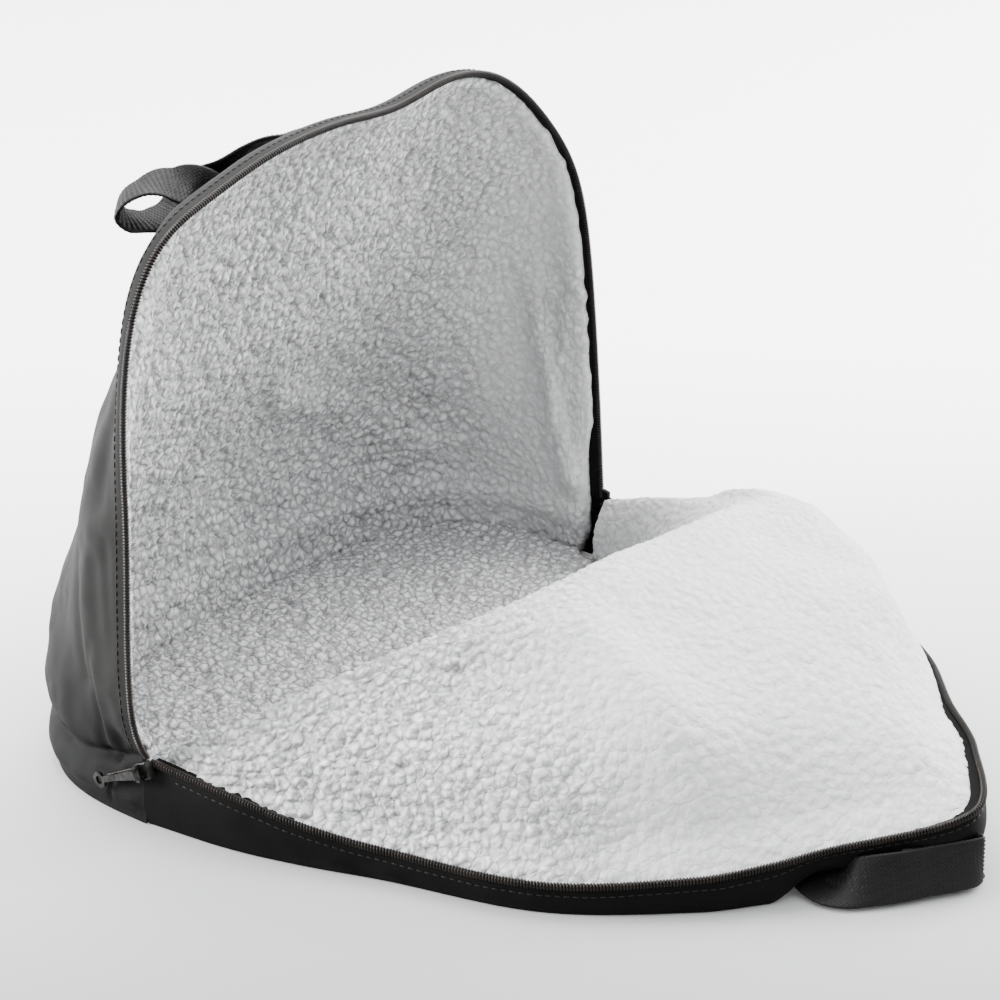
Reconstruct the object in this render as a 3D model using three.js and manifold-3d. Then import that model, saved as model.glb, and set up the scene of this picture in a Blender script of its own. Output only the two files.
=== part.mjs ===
// Soft helmet bag, standing open: a fleece-lined nylon body and its front flap folded down on the floor.
// X runs across the opening, +Y to the back, Z up from the floor, in millimetres.
// The origin is on the floor, below the middle of the opening.
import * as THREE from 'three';
import { mergeVertices } from 'three/addons/utils/BufferGeometryUtils.js';
import Module from 'manifold-3d';

// Driving sizes
const halfWidth = 190; // half the width of the opening
const zipFoot = 37; // height of the low side wall under each zip end
const archLean = 0.063; // backward lean of the zip edge above its foot
const baseFrontHalf = 178; // half width of the fold line under the flap
const baseFrontReach = 115; // how far that line bows forward
const baseFrontStart = 3; // where it starts in front of the opening
const nylonThick = 1.6;
const fleeceThick = 8;
const seamGap = 0.3; // room left between neighbouring pieces
const tapeReach = 6.6; // width of zip tape that shows beside the fleece
const baseThick = 2;
const strapWidth = 25;
const strapThick = 2;

// Depths below the outer face of the cloth
const liningFace = nylonThick + 2 * seamGap;
const liningBack = liningFace + fleeceThick;

const wasm = await Module();
wasm.setup();

// The standing half is one arch swung back about its foot line: a row for each position of the swing.
// swing: degrees up from the floor, reach: arch height there, power: squareness of its corners
const bodySwing = [
  { swing: 0, reach: 123, power: 3.0 },
  { swing: 11, reach: 132, power: 3.0 },
  { swing: 25, reach: 144, power: 3.0 },
  { swing: 39, reach: 156, power: 3.0 },
  { swing: 55, reach: 172, power: 3.0 },
  { swing: 67, reach: 198, power: 3.2 },
  { swing: 75.5, reach: 236, power: 3.7 },
  { swing: 81, reach: 271, power: 4.2 },
  { swing: 85.5, reach: 303, power: 4.7 },
  { swing: 87.5, reach: 315.5, power: 4.9 },
  { swing: 88.7, reach: 319, power: 5.0 },
  { swing: 90, reach: 319, power: 5.0 },
];

// Sags of the top edge: centre across the opening, half width of the sag and its depth
const topSags = [
  { across: -112, spread: 42, drop: 6 },
  { across: 32, spread: 34, drop: 5 },
  { across: 168, spread: 48, drop: 21 },
];

// Folds pressed into the standing cloth: a crease from one point to another, its half width and its depth
const bodyFolds = [
  { fromX: -192, fromY: 12, fromZ: 40, toX: -190, toY: 26, toZ: 135, spread: 7, depth: 5 },
  { fromX: -180, fromY: 50, fromZ: 212, toX: -176, toY: 74, toZ: 150, spread: 10, depth: 8 },
  { fromX: -150, fromY: 105, fromZ: 60, toX: -60, toY: 112, toZ: 125, spread: 12, depth: 6 },
  { fromX: 40, fromY: 118, fromZ: 130, toX: 150, toY: 100, toZ: 60, spread: 12, depth: 6 },
  { fromX: 192, fromY: 14, fromZ: 50, toX: 186, toY: 50, toZ: 190, spread: 9, depth: 6 },
];
const beltHeight = 27; // crease that runs round above the base
const beltSpread = 8;
const beltDepth = 3;

// The folded half: a row for each section from the left zip end round to the right one.
// along: share of the rim, top: crest of the fleece hump, rim: outer edge of the cloth at the zip,
// hem: lower edge of the nylon under the rim, full: how far the hump stays high towards the rim
const flapSections = [
  { along: 0, topX: -178, topY: -10, topZ: 42, rimX: -190, rimY: -0.4, rimZ: 37, hem: 0.2, full: 0.2 },
  { along: 0.047, topX: -160, topY: -32, topZ: 55, rimX: -184, rimY: -48, rimZ: 31, hem: 0.2, full: 0.2 },
  { along: 0.092, topX: -138, topY: -52, topZ: 67, rimX: -174, rimY: -86, rimZ: 23, hem: 0.2, full: 0.3 },
  { along: 0.144, topX: -115, topY: -76, topZ: 82, rimX: -160, rimY: -126, rimZ: 17, hem: 0.2, full: 0.4 },
  { along: 0.246, topX: -68, topY: -114, topZ: 102, rimX: -135, rimY: -206, rimZ: 15, hem: 0.2, full: 0.5 },
  { along: 0.341, topX: -28, topY: -129, topZ: 109, rimX: -88, rimY: -267, rimZ: 18, hem: 0.2, full: 0.6 },
  { along: 0.385, topX: -13, topY: -132, topZ: 110, rimX: -60, rimY: -290, rimZ: 21, hem: 0.2, full: 0.5 },
  { along: 0.416, topX: -2, topY: -134, topZ: 111, rimX: -41, rimY: -305, rimZ: 25, hem: 19, full: 0.4 },
  { along: 0.5, topX: 25, topY: -138, topZ: 111, rimX: 17, rimY: -354, rimZ: 38, hem: 24, full: 0.15 },
  { along: 0.565, topX: 52, topY: -142, topZ: 110, rimX: 57, rimY: -330, rimZ: 48, hem: 32, full: 0.3 },
  { along: 0.613, topX: 78, topY: -144, topZ: 109, rimX: 84, rimY: -299, rimZ: 50, hem: 32, full: 0.6 },
  { along: 0.685, topX: 108, topY: -143, topZ: 105, rimX: 132, rimY: -256, rimZ: 42, hem: 14, full: 0.9 },
  { along: 0.756, topX: 134, topY: -135, topZ: 96, rimX: 170, rimY: -206, rimZ: 32, hem: 0.2, full: 1 },
  { along: 0.83, topX: 152, topY: -112, topZ: 84, rimX: 186, rimY: -150, rimZ: 25, hem: 0.2, full: 0.9 },
  { along: 0.9, topX: 166, topY: -75, topZ: 68, rimX: 191, rimY: -95, rimZ: 24, hem: 0.2, full: 0.5 },
  { along: 0.95, topX: 173, topY: -40, topZ: 56, rimX: 192, rimY: -48, rimZ: 30, hem: 0.2, full: 0.2 },
  { along: 1.0, topX: 178, topY: -10, topZ: 42, rimX: 190, rimY: -0.4, rimZ: 37, hem: 0.2, full: 0.2 },
];

// Profile of each section: places as shares of the way, heights as shares of the rise.
// The Fill and Push shares are added where a section's full is 1
const wallPlace = 0.35; // from the fold line to the crest
const wallHeight = 0.55;
const shoulderPlace = 0.34; // from the crest to the rim
const shoulderHeight = 0.8;
const shoulderFill = 0.17;
const slopePlace = 0.67;
const slopeHeight = 0.42;
const slopePush = 0.1;
const slopeFill = 0.3;

// Soft ridges and dips across the fleece: a line in plan, its half width and its lift
const flapFolds = [
  { fromX: -46, fromY: -170, toX: -62, toY: -262, spread: 22, lift: 5 },
  { fromX: 96, fromY: -165, toX: 118, toY: -222, spread: 20, lift: -4 },
  { fromX: -100, fromY: -128, toX: -96, toY: -196, spread: 16, lift: -4 },
];

// Free stretches of the webbing handles: points along the middle of the strap,
// side: the direction that its width lies in
const bodyHandleLoop = [
  { x: -102, y: 51, z: 290.5, sideX: 0.4, sideY: 0.75, sideZ: -0.5 },
  { x: -110.8, y: 56, z: 287.5, sideX: 0.7, sideY: 0.68, sideZ: -0.2 },
  { x: -118.3, y: 62.7, z: 288.5, sideX: 0.79, sideY: 0.61, sideZ: 0 },
  { x: -121.8, y: 66.2, z: 293, sideX: 0.79, sideY: 0.61, sideZ: 0 },
  { x: -119.3, y: 64.2, z: 299, sideX: 0.79, sideY: 0.61, sideZ: 0 },
  { x: -111, y: 57.5, z: 304, sideX: 0.78, sideY: 0.61, sideZ: -0.12 },
  { x: -102, y: 52, z: 306.5, sideX: 0.6, sideY: 0.75, sideZ: 0 },
  { x: -93, y: 49, z: 306, sideX: 0.2, sideY: 0.9, sideZ: -0.1 },
  { x: -78, y: 47, z: 304, sideX: 0, sideY: 0.8, sideZ: -0.6 },
  { x: -62, y: 46.5, z: 300.5, sideX: 0, sideY: 0.3, sideZ: -0.95 },
  { x: -40, y: 46.5, z: 300, sideX: 0, sideY: 0.45, sideZ: -0.89 },
];
const flapHandleLoop = [
  { x: -24, y: -268, z: 14, sideX: 0.9, sideY: -0.35, sideZ: 0.25 },
  { x: -31, y: -290, z: 9.5, sideX: 0.9, sideY: -0.25, sideZ: 0.35 },
  { x: -36, y: -308, z: 6.8, sideX: 0.9, sideY: 0.1, sideZ: 0.37 },
  { x: -32, y: -325, z: 12, sideX: 0.35, sideY: 0.25, sideZ: 0.9 },
  { x: -20, y: -339, z: 13, sideX: 0.12, sideY: 0.12, sideZ: 0.98 },
  { x: -6.2, y: -349.4, z: 13, sideX: 0.05, sideY: 0.05, sideZ: 1 },
  { x: 4.2, y: -357.6, z: 13.3, sideX: 0.02, sideY: 0.02, sideZ: 1 },
  { x: 12, y: -362.4, z: 14.2, sideX: 0, sideY: 0, sideZ: 1 },
  { x: 18.6, y: -363, z: 15.3, sideX: 0, sideY: 0, sideZ: 1 },
  { x: 20.6, y: -358.6, z: 16.3, sideX: 0, sideY: 0, sideZ: 1 },
];
const handleSwing = 84.5; // the body handle is sewn to the slope behind the zip edge
const nearAnchorTurns = [1.25, 1.19, 1.13]; // places round the arch where its ends are sewn down
const farAnchorTurns = [1.47, 1.54, 1.61];
const flapAnchorAlongs = [0.499, 0.478, 0.457]; // shares of the rim where the flap handle ends
const flapAnchorDrop = 21; // middle of that end below the rim

// Zip hardware on the left side wall
const sliderAt = { x: -190.6, y: -2, z: 33 };
const tailSlope = THREE.MathUtils.degToRad(27); // the closed end of the zip drops towards the back
const sliderLength = 11;
const sliderWidth = 9;
const sliderThick = 4.6;
const barRadius = 0.8;
const barLift = 2.7; // bar above the slider's face
const eyeRadius = 2.1;
const eyeBore = 1.15;
const pullLength = 37;
const pullWidth = 5;
const pullThick = 1.4;
const pullRing = 4.4; // radius of the round end
const pullHole = 2.3;
const pullRest = THREE.MathUtils.degToRad(6); // the pull leans in until it nearly meets the cloth
const tailLength = 26;
const tailWidth = 6;
const tailThick = 1.8;

// Smooth value of one named column, a cubic through the rows of a table
function column(table, key, name, at) {
  const last = table.length - 2;
  let row = 0;
  while (row < last && at >= table[row + 1][key]) row += 1;
  const slope = (i) => {
    const before = table[Math.max(i - 1, 0)];
    const after = table[Math.min(i + 1, table.length - 1)];
    return (after[name] - before[name]) / (after[key] - before[key]);
  };
  const [start, end] = [table[row], table[row + 1]];
  const span = end[key] - start[key];
  const t = THREE.MathUtils.clamp((at - start[key]) / span, 0, 1);
  const s = 1 - t;
  return (1 + 2 * t) * s * s * start[name] + t * s * s * span * slope(row)
    + t * t * (3 - 2 * t) * end[name] - t * t * s * span * slope(row + 1);
}

// Closed solid between two grids of points that have the same rows and columns
function solidBetween(top, bottom) {
  const rows = top.length;
  const columns = top[0].length;
  const positions = [...top.flat(), ...bottom.flat()].flatMap((point) => point.toArray());
  const upper = (row, col) => row * columns + col;
  const lower = (row, col) => rows * columns + row * columns + col;
  const faces = [];
  const quad = (a, b, c, d) => faces.push([a, b, c], [a, c, d]);
  for (let row = 0; row + 1 < rows; row += 1) {
    for (let col = 0; col + 1 < columns; col += 1) {
      quad(upper(row, col), upper(row, col + 1), upper(row + 1, col + 1), upper(row + 1, col));
      quad(lower(row, col), lower(row + 1, col), lower(row + 1, col + 1), lower(row, col + 1));
    }
    quad(upper(row, 0), upper(row + 1, 0), lower(row + 1, 0), lower(row, 0));
    const end = columns - 1;
    quad(upper(row + 1, end), upper(row, end), lower(row, end), lower(row + 1, end));
  }
  for (let col = 0; col + 1 < columns; col += 1) {
    quad(upper(0, col + 1), upper(0, col), lower(0, col), lower(0, col + 1));
    const end = rows - 1;
    quad(upper(end, col), upper(end, col + 1), lower(end, col + 1), lower(end, col));
  }
  return weld(positions, faces);
}

// Closed solid carried along a path: one ring of points for each station, flat caps at both ends
function solidAlong(rings) {
  const sides = rings[0].length;
  const positions = rings.flat().flatMap((point) => point.toArray());
  const faces = [];
  for (let i = 0; i + 1 < rings.length; i += 1) {
    for (let k = 0; k < sides; k += 1) {
      const next = (k + 1) % sides;
      const [a, b] = [i * sides + k, i * sides + next];
      faces.push([a, b, b + sides], [a, b + sides, a + sides]);
    }
  }
  const lastRing = (rings.length - 1) * sides;
  for (const [a, b, c] of capTriangles(rings[0])) {
    faces.push([a, c, b], [lastRing + a, lastRing + b, lastRing + c]);
  }
  return weld(positions, faces);
}

// Triangles that fill a ring of points, worked out on the plane that the ring lies nearest to
function capTriangles(ring) {
  const normal = new THREE.Vector3();
  ring.forEach((point, k) => {
    const next = ring[(k + 1) % ring.length];
    normal.add(new THREE.Vector3().crossVectors(point, next));
  });
  normal.normalize();
  const across = new THREE.Vector3().subVectors(ring[1], ring[0]).projectOnPlane(normal).normalize();
  const upward = new THREE.Vector3().crossVectors(normal, across);
  const flat = ring.map((point) => new THREE.Vector2(point.dot(across), point.dot(upward)));
  return THREE.ShapeUtils.triangulateShape(flat, []);
}

// Shared vertices joined, triangles that close up at a pole left out, and all faces turned outwards
function weld(positions, faces) {
  const raw = new THREE.BufferGeometry();
  raw.setAttribute('position', new THREE.Float32BufferAttribute(positions, 3));
  raw.setIndex(faces.flat());
  const joined = mergeVertices(raw, 1e-3);
  const index = Array.from(joined.getIndex().array);
  const kept = [];
  for (let i = 0; i < index.length; i += 3) {
    const [a, b, c] = index.slice(i, i + 3);
    if (a !== b && b !== c && c !== a) kept.push(a, b, c);
  }
  const place = joined.getAttribute('position');
  const corner = (i) => new THREE.Vector3().fromBufferAttribute(place, kept[i]);
  let volume = 0;
  for (let i = 0; i < kept.length; i += 3) volume += corner(i).dot(corner(i + 1).cross(corner(i + 2)));
  if (volume < 0) kept.reverse();
  joined.setIndex(kept);
  joined.computeVertexNormals();
  return joined;
}

function grid(rowValues, columnValues, pointAt) {
  return rowValues.map((row) => columnValues.map((col) => pointAt(col, row)));
}

function steps(from, to, count) {
  return Array.from({ length: count + 1 }, (unused, i) => from + (to - from) * i / count);
}

// Distance from a point to a straight crease
function creaseDistance(point, from, to) {
  const along = new THREE.Vector3().subVectors(to, from);
  const offset = new THREE.Vector3().subVectors(point, from);
  const share = THREE.MathUtils.clamp(offset.dot(along) / along.lengthSq(), 0, 1);
  return offset.addScaledVector(along, -share).length();
}

const bell = (distance, spread) => Math.exp(-((distance / spread) ** 2));

// Smooth dome of the standing half: turn runs 0 to pi round the arch, swing in degrees from the floor
function domePoint(turn, swing) {
  const reach = column(bodySwing, 'swing', 'reach', swing);
  const power = column(bodySwing, 'swing', 'power', swing);
  const [across, up] = [Math.cos(turn), Math.sin(turn)];
  const radius = (Math.abs(across) ** power + Math.abs(up) ** power) ** (-1 / power);
  const angle = THREE.MathUtils.degToRad(swing);
  const x = -halfWidth * radius * across;
  const height = reach * radius * up;
  const y = height * Math.cos(angle);
  let z = height * Math.sin(angle);
  const high = THREE.MathUtils.smoothstep(z, 180, 300);
  for (const sag of topSags) z -= high * sag.drop * bell(x - sag.across, sag.spread);
  return new THREE.Vector3(x, y + archLean * Math.max(0, z - zipFoot), z);
}

function domeNormal(turn, swing) {
  const poleMargin = 0.03;
  const nudge = 0.01;
  if (turn < poleMargin) return new THREE.Vector3(-1, 0, 0);
  if (turn > Math.PI - poleMargin) return new THREE.Vector3(1, 0, 0);
  const degree = 0.5;
  const low = Math.max(swing - degree, 0);
  const high = Math.min(swing + degree, 90);
  const alongArch = domePoint(turn + nudge, swing).sub(domePoint(turn - nudge, swing));
  const alongSwing = domePoint(turn, high).sub(domePoint(turn, low));
  return alongSwing.cross(alongArch).normalize();
}

// Outer face of the standing cloth with its folds, moved inwards by a depth
function bodyPoint(turn, swing, depth) {
  const point = domePoint(turn, swing);
  const normal = domeNormal(turn, swing);
  const edgeFade = THREE.MathUtils.smoothstep(90 - swing, 1, 12) * THREE.MathUtils.smoothstep(point.z, 0, 14);
  let press = beltDepth * bell(point.z - beltHeight, beltSpread);
  for (const fold of bodyFolds) {
    const from = new THREE.Vector3(fold.fromX, fold.fromY, fold.fromZ);
    const to = new THREE.Vector3(fold.toX, fold.toY, fold.toZ);
    press += fold.depth * bell(creaseDistance(point, from, to), fold.spread);
  }
  return point.addScaledVector(normal, -depth - press * edgeFade);
}

const rimPoint = (along) => new THREE.Vector3(
  column(flapSections, 'along', 'rimX', along),
  column(flapSections, 'along', 'rimY', along),
  column(flapSections, 'along', 'rimZ', along),
);

// Level direction from the rim towards the inside of the flap
function rimInward(along) {
  const nudge = 0.004;
  const ahead = rimPoint(Math.min(along + nudge, 1));
  const behind = rimPoint(Math.max(along - nudge, 0));
  return new THREE.Vector3(behind.y - ahead.y, ahead.x - behind.x, 0).normalize();
}

// Fold line of the flap on the floor, below the crest
function foldLine(along) {
  const x = column(flapSections, 'along', 'topX', along);
  const share = THREE.MathUtils.clamp(x / baseFrontHalf, -1, 1);
  return new THREE.Vector3(x, -baseFrontStart - baseFrontReach * Math.sqrt(1 - share * share), 0.3);
}

function foldInward(along) {
  const point = foldLine(along);
  return new THREE.Vector3(-point.x / baseFrontHalf ** 2, -(point.y + baseFrontStart) / baseFrontReach ** 2, 0)
    .normalize();
}

// Under face of the flap's nylon: rise runs 0 at the fold line, over the crest, to 1 at the rim.
// lift moves the point towards the fleece side
function flapPoint(along, rise, lift) {
  const crest = new THREE.Vector3(
    column(flapSections, 'along', 'topX', along),
    column(flapSections, 'along', 'topY', along),
    column(flapSections, 'along', 'topZ', along) - liningBack,
  );
  const full = column(flapSections, 'along', 'full', along);
  const edge = rimPoint(along).addScaledVector(rimInward(along), tapeReach + seamGap);
  edge.z = Math.max(0.4, edge.z - liningBack - 0.6);
  const base = foldLine(along);
  const wall = base.clone().lerp(crest, wallPlace).setZ(crest.z * wallHeight);
  const fall = (share) => edge.z + (crest.z - edge.z) * share;
  const shoulder = crest.clone().lerp(edge, shoulderPlace).setZ(fall(shoulderHeight + shoulderFill * full));
  const slope = crest.clone().lerp(edge, slopePlace + slopePush * full)
    .setZ(fall(slopeHeight + slopeFill * full));
  const stations = [base, wall, crest, shoulder, slope, edge]
    .map((point, i) => ({ rise: i / 5, x: point.x, y: point.y, z: point.z }));
  const point = new THREE.Vector3(
    column(stations, 'rise', 'x', rise),
    column(stations, 'rise', 'y', rise),
    column(stations, 'rise', 'z', rise),
  );
  const topFade = THREE.MathUtils.smoothstep(rise, 0.4, 0.55) * (1 - THREE.MathUtils.smoothstep(rise, 0.8, 1));
  for (const fold of flapFolds) {
    const from = new THREE.Vector3(fold.fromX, fold.fromY, 0);
    const to = new THREE.Vector3(fold.toX, fold.toY, 0);
    point.z += fold.lift * topFade * bell(creaseDistance(point.clone().setZ(0), from, to), fold.spread);
  }
  const turnUp = THREE.MathUtils.smoothstep(rise, 0.1, 0.5);
  const direction = foldInward(along).lerp(new THREE.Vector3(0, 0, 1), turnUp).normalize();
  return point.addScaledVector(direction, lift);
}

const turnSteps = 32;
const alongSteps = 36;
const bodySwings = [0, 4, 8, 12, 17, 23, 31, 40, 50, 59, 67, 73, 78, 82, 85, 86.5, 87.5, 88.3, 90];

function bodyShell() {
  const turns = steps(0, Math.PI, turnSteps);
  const outer = grid(bodySwings, turns, (turn, swing) => bodyPoint(turn, swing, 0));
  const inner = grid(bodySwings, turns, (turn, swing) => bodyPoint(turn, swing, nylonThick));
  return solidBetween(outer, inner);
}

// More room between the layers near the feet of the arch, where the cloth turns sharply
const footSlack = (height) => 4 * seamGap * (1 - THREE.MathUtils.smoothstep(height, 30, 100));

// The lining stops short of the zip edge, and stands on the base panel
function bodyLining() {
  const turns = steps(0, Math.PI, turnSteps).slice(1, -1);
  const liningPoint = (turn, swing, depth) => {
    const edgeHeight = domePoint(turn, 90).z;
    const footReach = domePoint(turn, 0).y;
    const lowest = THREE.MathUtils.radToDeg(Math.asin((baseThick + 2 * seamGap) / footReach));
    const highest = 90 - THREE.MathUtils.radToDeg(Math.atan((tapeReach + 7 * seamGap) / edgeHeight));
    return bodyPoint(turn, THREE.MathUtils.clamp(swing, lowest, highest), depth + footSlack(edgeHeight));
  };
  const outer = grid(bodySwings, turns, (turn, swing) => liningPoint(turn, swing, liningFace));
  const inner = grid(bodySwings, turns, (turn, swing) => liningPoint(turn, swing, liningBack));
  return solidBetween(outer, inner);
}

const flapRises = [0, 0.1, 0.2, 0.3, 0.37, 0.43, 0.5, 0.6, 0.7, 0.8, 0.9, 1];

function flapPanel() {
  const alongs = steps(0, 1, alongSteps);
  const upper = grid(flapRises, alongs, (along, rise) => flapPoint(along, rise, nylonThick));
  const under = grid(flapRises, alongs, (along, rise) => flapPoint(along, rise, 0));
  return solidBetween(upper, under);
}

function flapLining() {
  const alongs = steps(0, 1, alongSteps);
  const liningFoot = 0.03;
  const rises = flapRises.map((rise) => Math.max(rise, liningFoot));
  const upper = grid(rises, alongs, (along, rise) => flapPoint(along, rise, liningBack));
  const under = grid(rises, alongs, (along, rise) => flapPoint(along, rise, liningFace));
  return solidBetween(upper, under);
}

// A strip on edge below the zip: it follows the rim, from its hem up to the tape
function flapGusset() {
  const tapeRoom = 1.6;
  const rings = steps(0, 1, alongSteps).map((along) => {
    const rim = rimPoint(along);
    const inward = rimInward(along);
    const hem = Math.max(column(flapSections, 'along', 'hem', along), 0.2);
    const corner = (depth, z) => rim.clone().addScaledVector(inward, depth).setZ(z);
    return [
      corner(0, rim.z - tapeRoom), corner(nylonThick, rim.z - tapeRoom),
      corner(nylonThick + 1, hem), corner(1, hem),
    ];
  });
  return solidAlong(rings);
}

// Tape with its coil along one edge: across runs in from the edge of the cloth, up runs out past it
const flapTapeSection = [
  { across: tapeReach, up: -1.2 }, { across: 0.2, up: -1.2 }, { across: -1.3, up: 0.2 },
  { across: -0.6, up: 2.2 }, { across: 1.2, up: 2.5 }, { across: 2.1, up: 1.2 },
  { across: 2.1, up: 0 }, { across: tapeReach, up: 0 },
];
const bodyTapeSection = [
  { across: 3, up: -tapeReach }, { across: 2.1, up: 0.4 }, { across: 0.1, up: 1.2 },
  { across: 0.4, up: 3.4 }, { across: 1.9, up: 4.1 }, { across: 3.4, up: 3.2 },
  { across: 3.3, up: 0.4 }, { across: 4.2, up: -tapeReach },
];

function flapZipTape() {
  const alongs = steps(0, 1, alongSteps).map((along) => THREE.MathUtils.clamp(along, 0.006, 0.994));
  const rings = alongs.map((along) => {
    const rim = rimPoint(along);
    const inward = rimInward(along);
    return flapTapeSection.map(({ across, up }) => (
      rim.clone().addScaledVector(inward, across).add(new THREE.Vector3(0, 0, up))));
  });
  return solidAlong(rings);
}

function bodyZipTape() {
  const footTurn = 0.15;
  const turns = steps(0, Math.PI, turnSteps).slice(1, -1)
    .map((turn) => THREE.MathUtils.clamp(turn, footTurn, Math.PI - footTurn));
  const rings = turns.map((turn) => {
    const edge = domePoint(turn, 90);
    const inward = domeNormal(turn, 90).negate();
    const outPast = domePoint(turn, 90).sub(domePoint(turn, 89)).normalize();
    return bodyTapeSection.map(({ across, up }) => (
      edge.clone().addScaledVector(inward, across + footSlack(edge.z)).addScaledVector(outPast, up)));
  });
  return solidAlong(rings);
}

// Room for the lean of the flap's wall above its fold line
const foldLean = (height) => seamGap + 0.55 * height;

// Flat plate on the floor: the standing half's outline behind, the flap's fold line in front, both moved in
function basePlate(low, thick, backInset, frontInset) {
  const cornerY = 1.2;
  const back = steps(0, Math.PI, turnSteps)
    .map((turn) => bodyPoint(turn, 0, backInset))
    .map((point) => new THREE.Vector2(point.x, Math.max(point.y, cornerY)));
  const front = steps(1, 0, alongSteps).map((along) => {
    const point = foldLine(along).addScaledVector(foldInward(along), frontInset);
    return new THREE.Vector2(point.x, point.y);
  });
  const step = baseFrontHalf - frontInset;
  const outline = [...back, new THREE.Vector2(step, cornerY), ...front, new THREE.Vector2(-step, cornerY)];
  const plate = new THREE.ExtrudeGeometry(new THREE.Shape(outline), { depth: thick, bevelEnabled: false });
  plate.translate(0, 0, low);
  plate.deleteAttribute('normal');
  plate.deleteAttribute('uv');
  return mergeVertices(plate, 1e-3);
}

const basePanel = () => basePlate(0, baseThick, liningFace, liningFace + foldLean(baseThick));

function baseLining() {
  const backInset = liningBack + 5 * seamGap;
  const frontInset = liningBack + foldLean(baseThick + fleeceThick);
  return basePlate(baseThick + seamGap, fleeceThick, backInset, frontInset);
}

// Flat webbing along a smooth path, its width laid towards each row's side
function strap(path) {
  const points = path.map(({ x, y, z }) => new THREE.Vector3(x, y, z));
  const curve = new THREE.CatmullRomCurve3(points, false, 'centripetal');
  const perSpan = 2;
  const rows = path.map((row, i) => ({ ...row, place: i / (path.length - 1) }));
  const rings = steps(0, 1, (path.length - 1) * perSpan).map((place) => {
    const centre = curve.getPoint(place);
    const along = curve.getTangent(place);
    const side = ['sideX', 'sideY', 'sideZ'].map((name) => column(rows, 'place', name, place));
    const width = new THREE.Vector3(...side).projectOnPlane(along).normalize();
    const face = new THREE.Vector3().crossVectors(along, width);
    const corner = (across, through) => centre.clone()
      .addScaledVector(width, across * strapWidth / 2).addScaledVector(face, through * strapThick / 2);
    return [corner(-1, -1), corner(1, -1), corner(1, 1), corner(-1, 1)];
  });
  return solidAlong(rings);
}

const strapRow = (at, side) => ({ x: at.x, y: at.y, z: at.z, sideX: side.x, sideY: side.y, sideZ: side.z });
const strapSeat = strapThick / 2 + seamGap; // middle of a strap that lies on cloth

// Both ends of the body handle lie flat on the slope behind the zip edge
function bodyHandle() {
  const anchor = (turn) => {
    const side = domePoint(turn, handleSwing - 2).sub(domePoint(turn, handleSwing + 2)).normalize();
    return strapRow(bodyPoint(turn, handleSwing, -strapSeat - 2 * seamGap), side);
  };
  return strap([...nearAnchorTurns.map(anchor), ...bodyHandleLoop, ...farAnchorTurns.map(anchor)]);
}

// One end of the flap handle comes out from under the flap, the other stands against the gusset
function flapHandle() {
  const anchor = (along) => {
    const rim = rimPoint(along);
    const height = Math.max(rim.z - flapAnchorDrop, strapWidth / 2 + 2 * seamGap);
    const centre = rim.addScaledVector(rimInward(along), -strapSeat).setZ(height);
    return strapRow(centre, new THREE.Vector3(0, 0, 1));
  };
  return strap([...flapHandleLoop, ...flapAnchorAlongs.map(anchor)]);
}

function toManifold(geometry) {
  const bare = geometry.clone();
  bare.deleteAttribute('normal');
  bare.deleteAttribute('uv');
  const joined = mergeVertices(bare, 1e-4);
  return new wasm.Manifold(new wasm.Mesh({
    numProp: 3,
    vertProperties: new Float32Array(joined.getAttribute('position').array),
    triVerts: new Uint32Array(joined.getIndex().array),
  }));
}

function joinSolids(geometries) {
  const [first, ...rest] = geometries.map(toManifold);
  const mesh = rest.reduce((sum, next) => sum.add(next), first).getMesh();
  const geometry = new THREE.BufferGeometry();
  geometry.setAttribute('position', new THREE.Float32BufferAttribute(mesh.vertProperties, 3));
  geometry.setIndex(Array.from(mesh.triVerts));
  geometry.computeVertexNormals();
  return geometry;
}

// Zip hardware is made lying flat: +X along the zip towards its closed end, +Z away from the cloth
function zipSlider() {
  const [tail, taperAt, nose] = [-sliderLength / 2, sliderLength * 0.1, sliderLength / 2];
  const [wide, narrow] = [sliderWidth / 2, sliderWidth * 0.36];
  const outline = new THREE.Shape([
    new THREE.Vector2(tail, -wide), new THREE.Vector2(taperAt, -wide), new THREE.Vector2(nose, -narrow),
    new THREE.Vector2(nose, narrow), new THREE.Vector2(taperAt, wide), new THREE.Vector2(tail, wide),
  ]);
  const bevel = 0.6;
  const body = new THREE.ExtrudeGeometry(outline, {
    depth: sliderThick - 2 * bevel, bevelEnabled: true, bevelSegments: 1,
    bevelSize: bevel, bevelThickness: bevel, bevelOffset: -bevel,
  });
  body.translate(0, 0, bevel);
  const postWidth = 1.4;
  const postRise = barLift + barRadius;
  const postAt = pullWidth / 2 + seamGap + postWidth / 2;
  const posts = [-1, 1].map((side) => {
    const post = new THREE.BoxGeometry(2.4, postWidth, postRise + 0.5);
    post.translate(0, side * postAt, sliderThick + postRise / 2 - 0.25);
    return post;
  });
  const bar = new THREE.CylinderGeometry(barRadius, barRadius, 2 * postAt, 12);
  bar.translate(0, 0, sliderThick + barLift);
  return joinSolids([body, ...posts, bar]);
}

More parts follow.
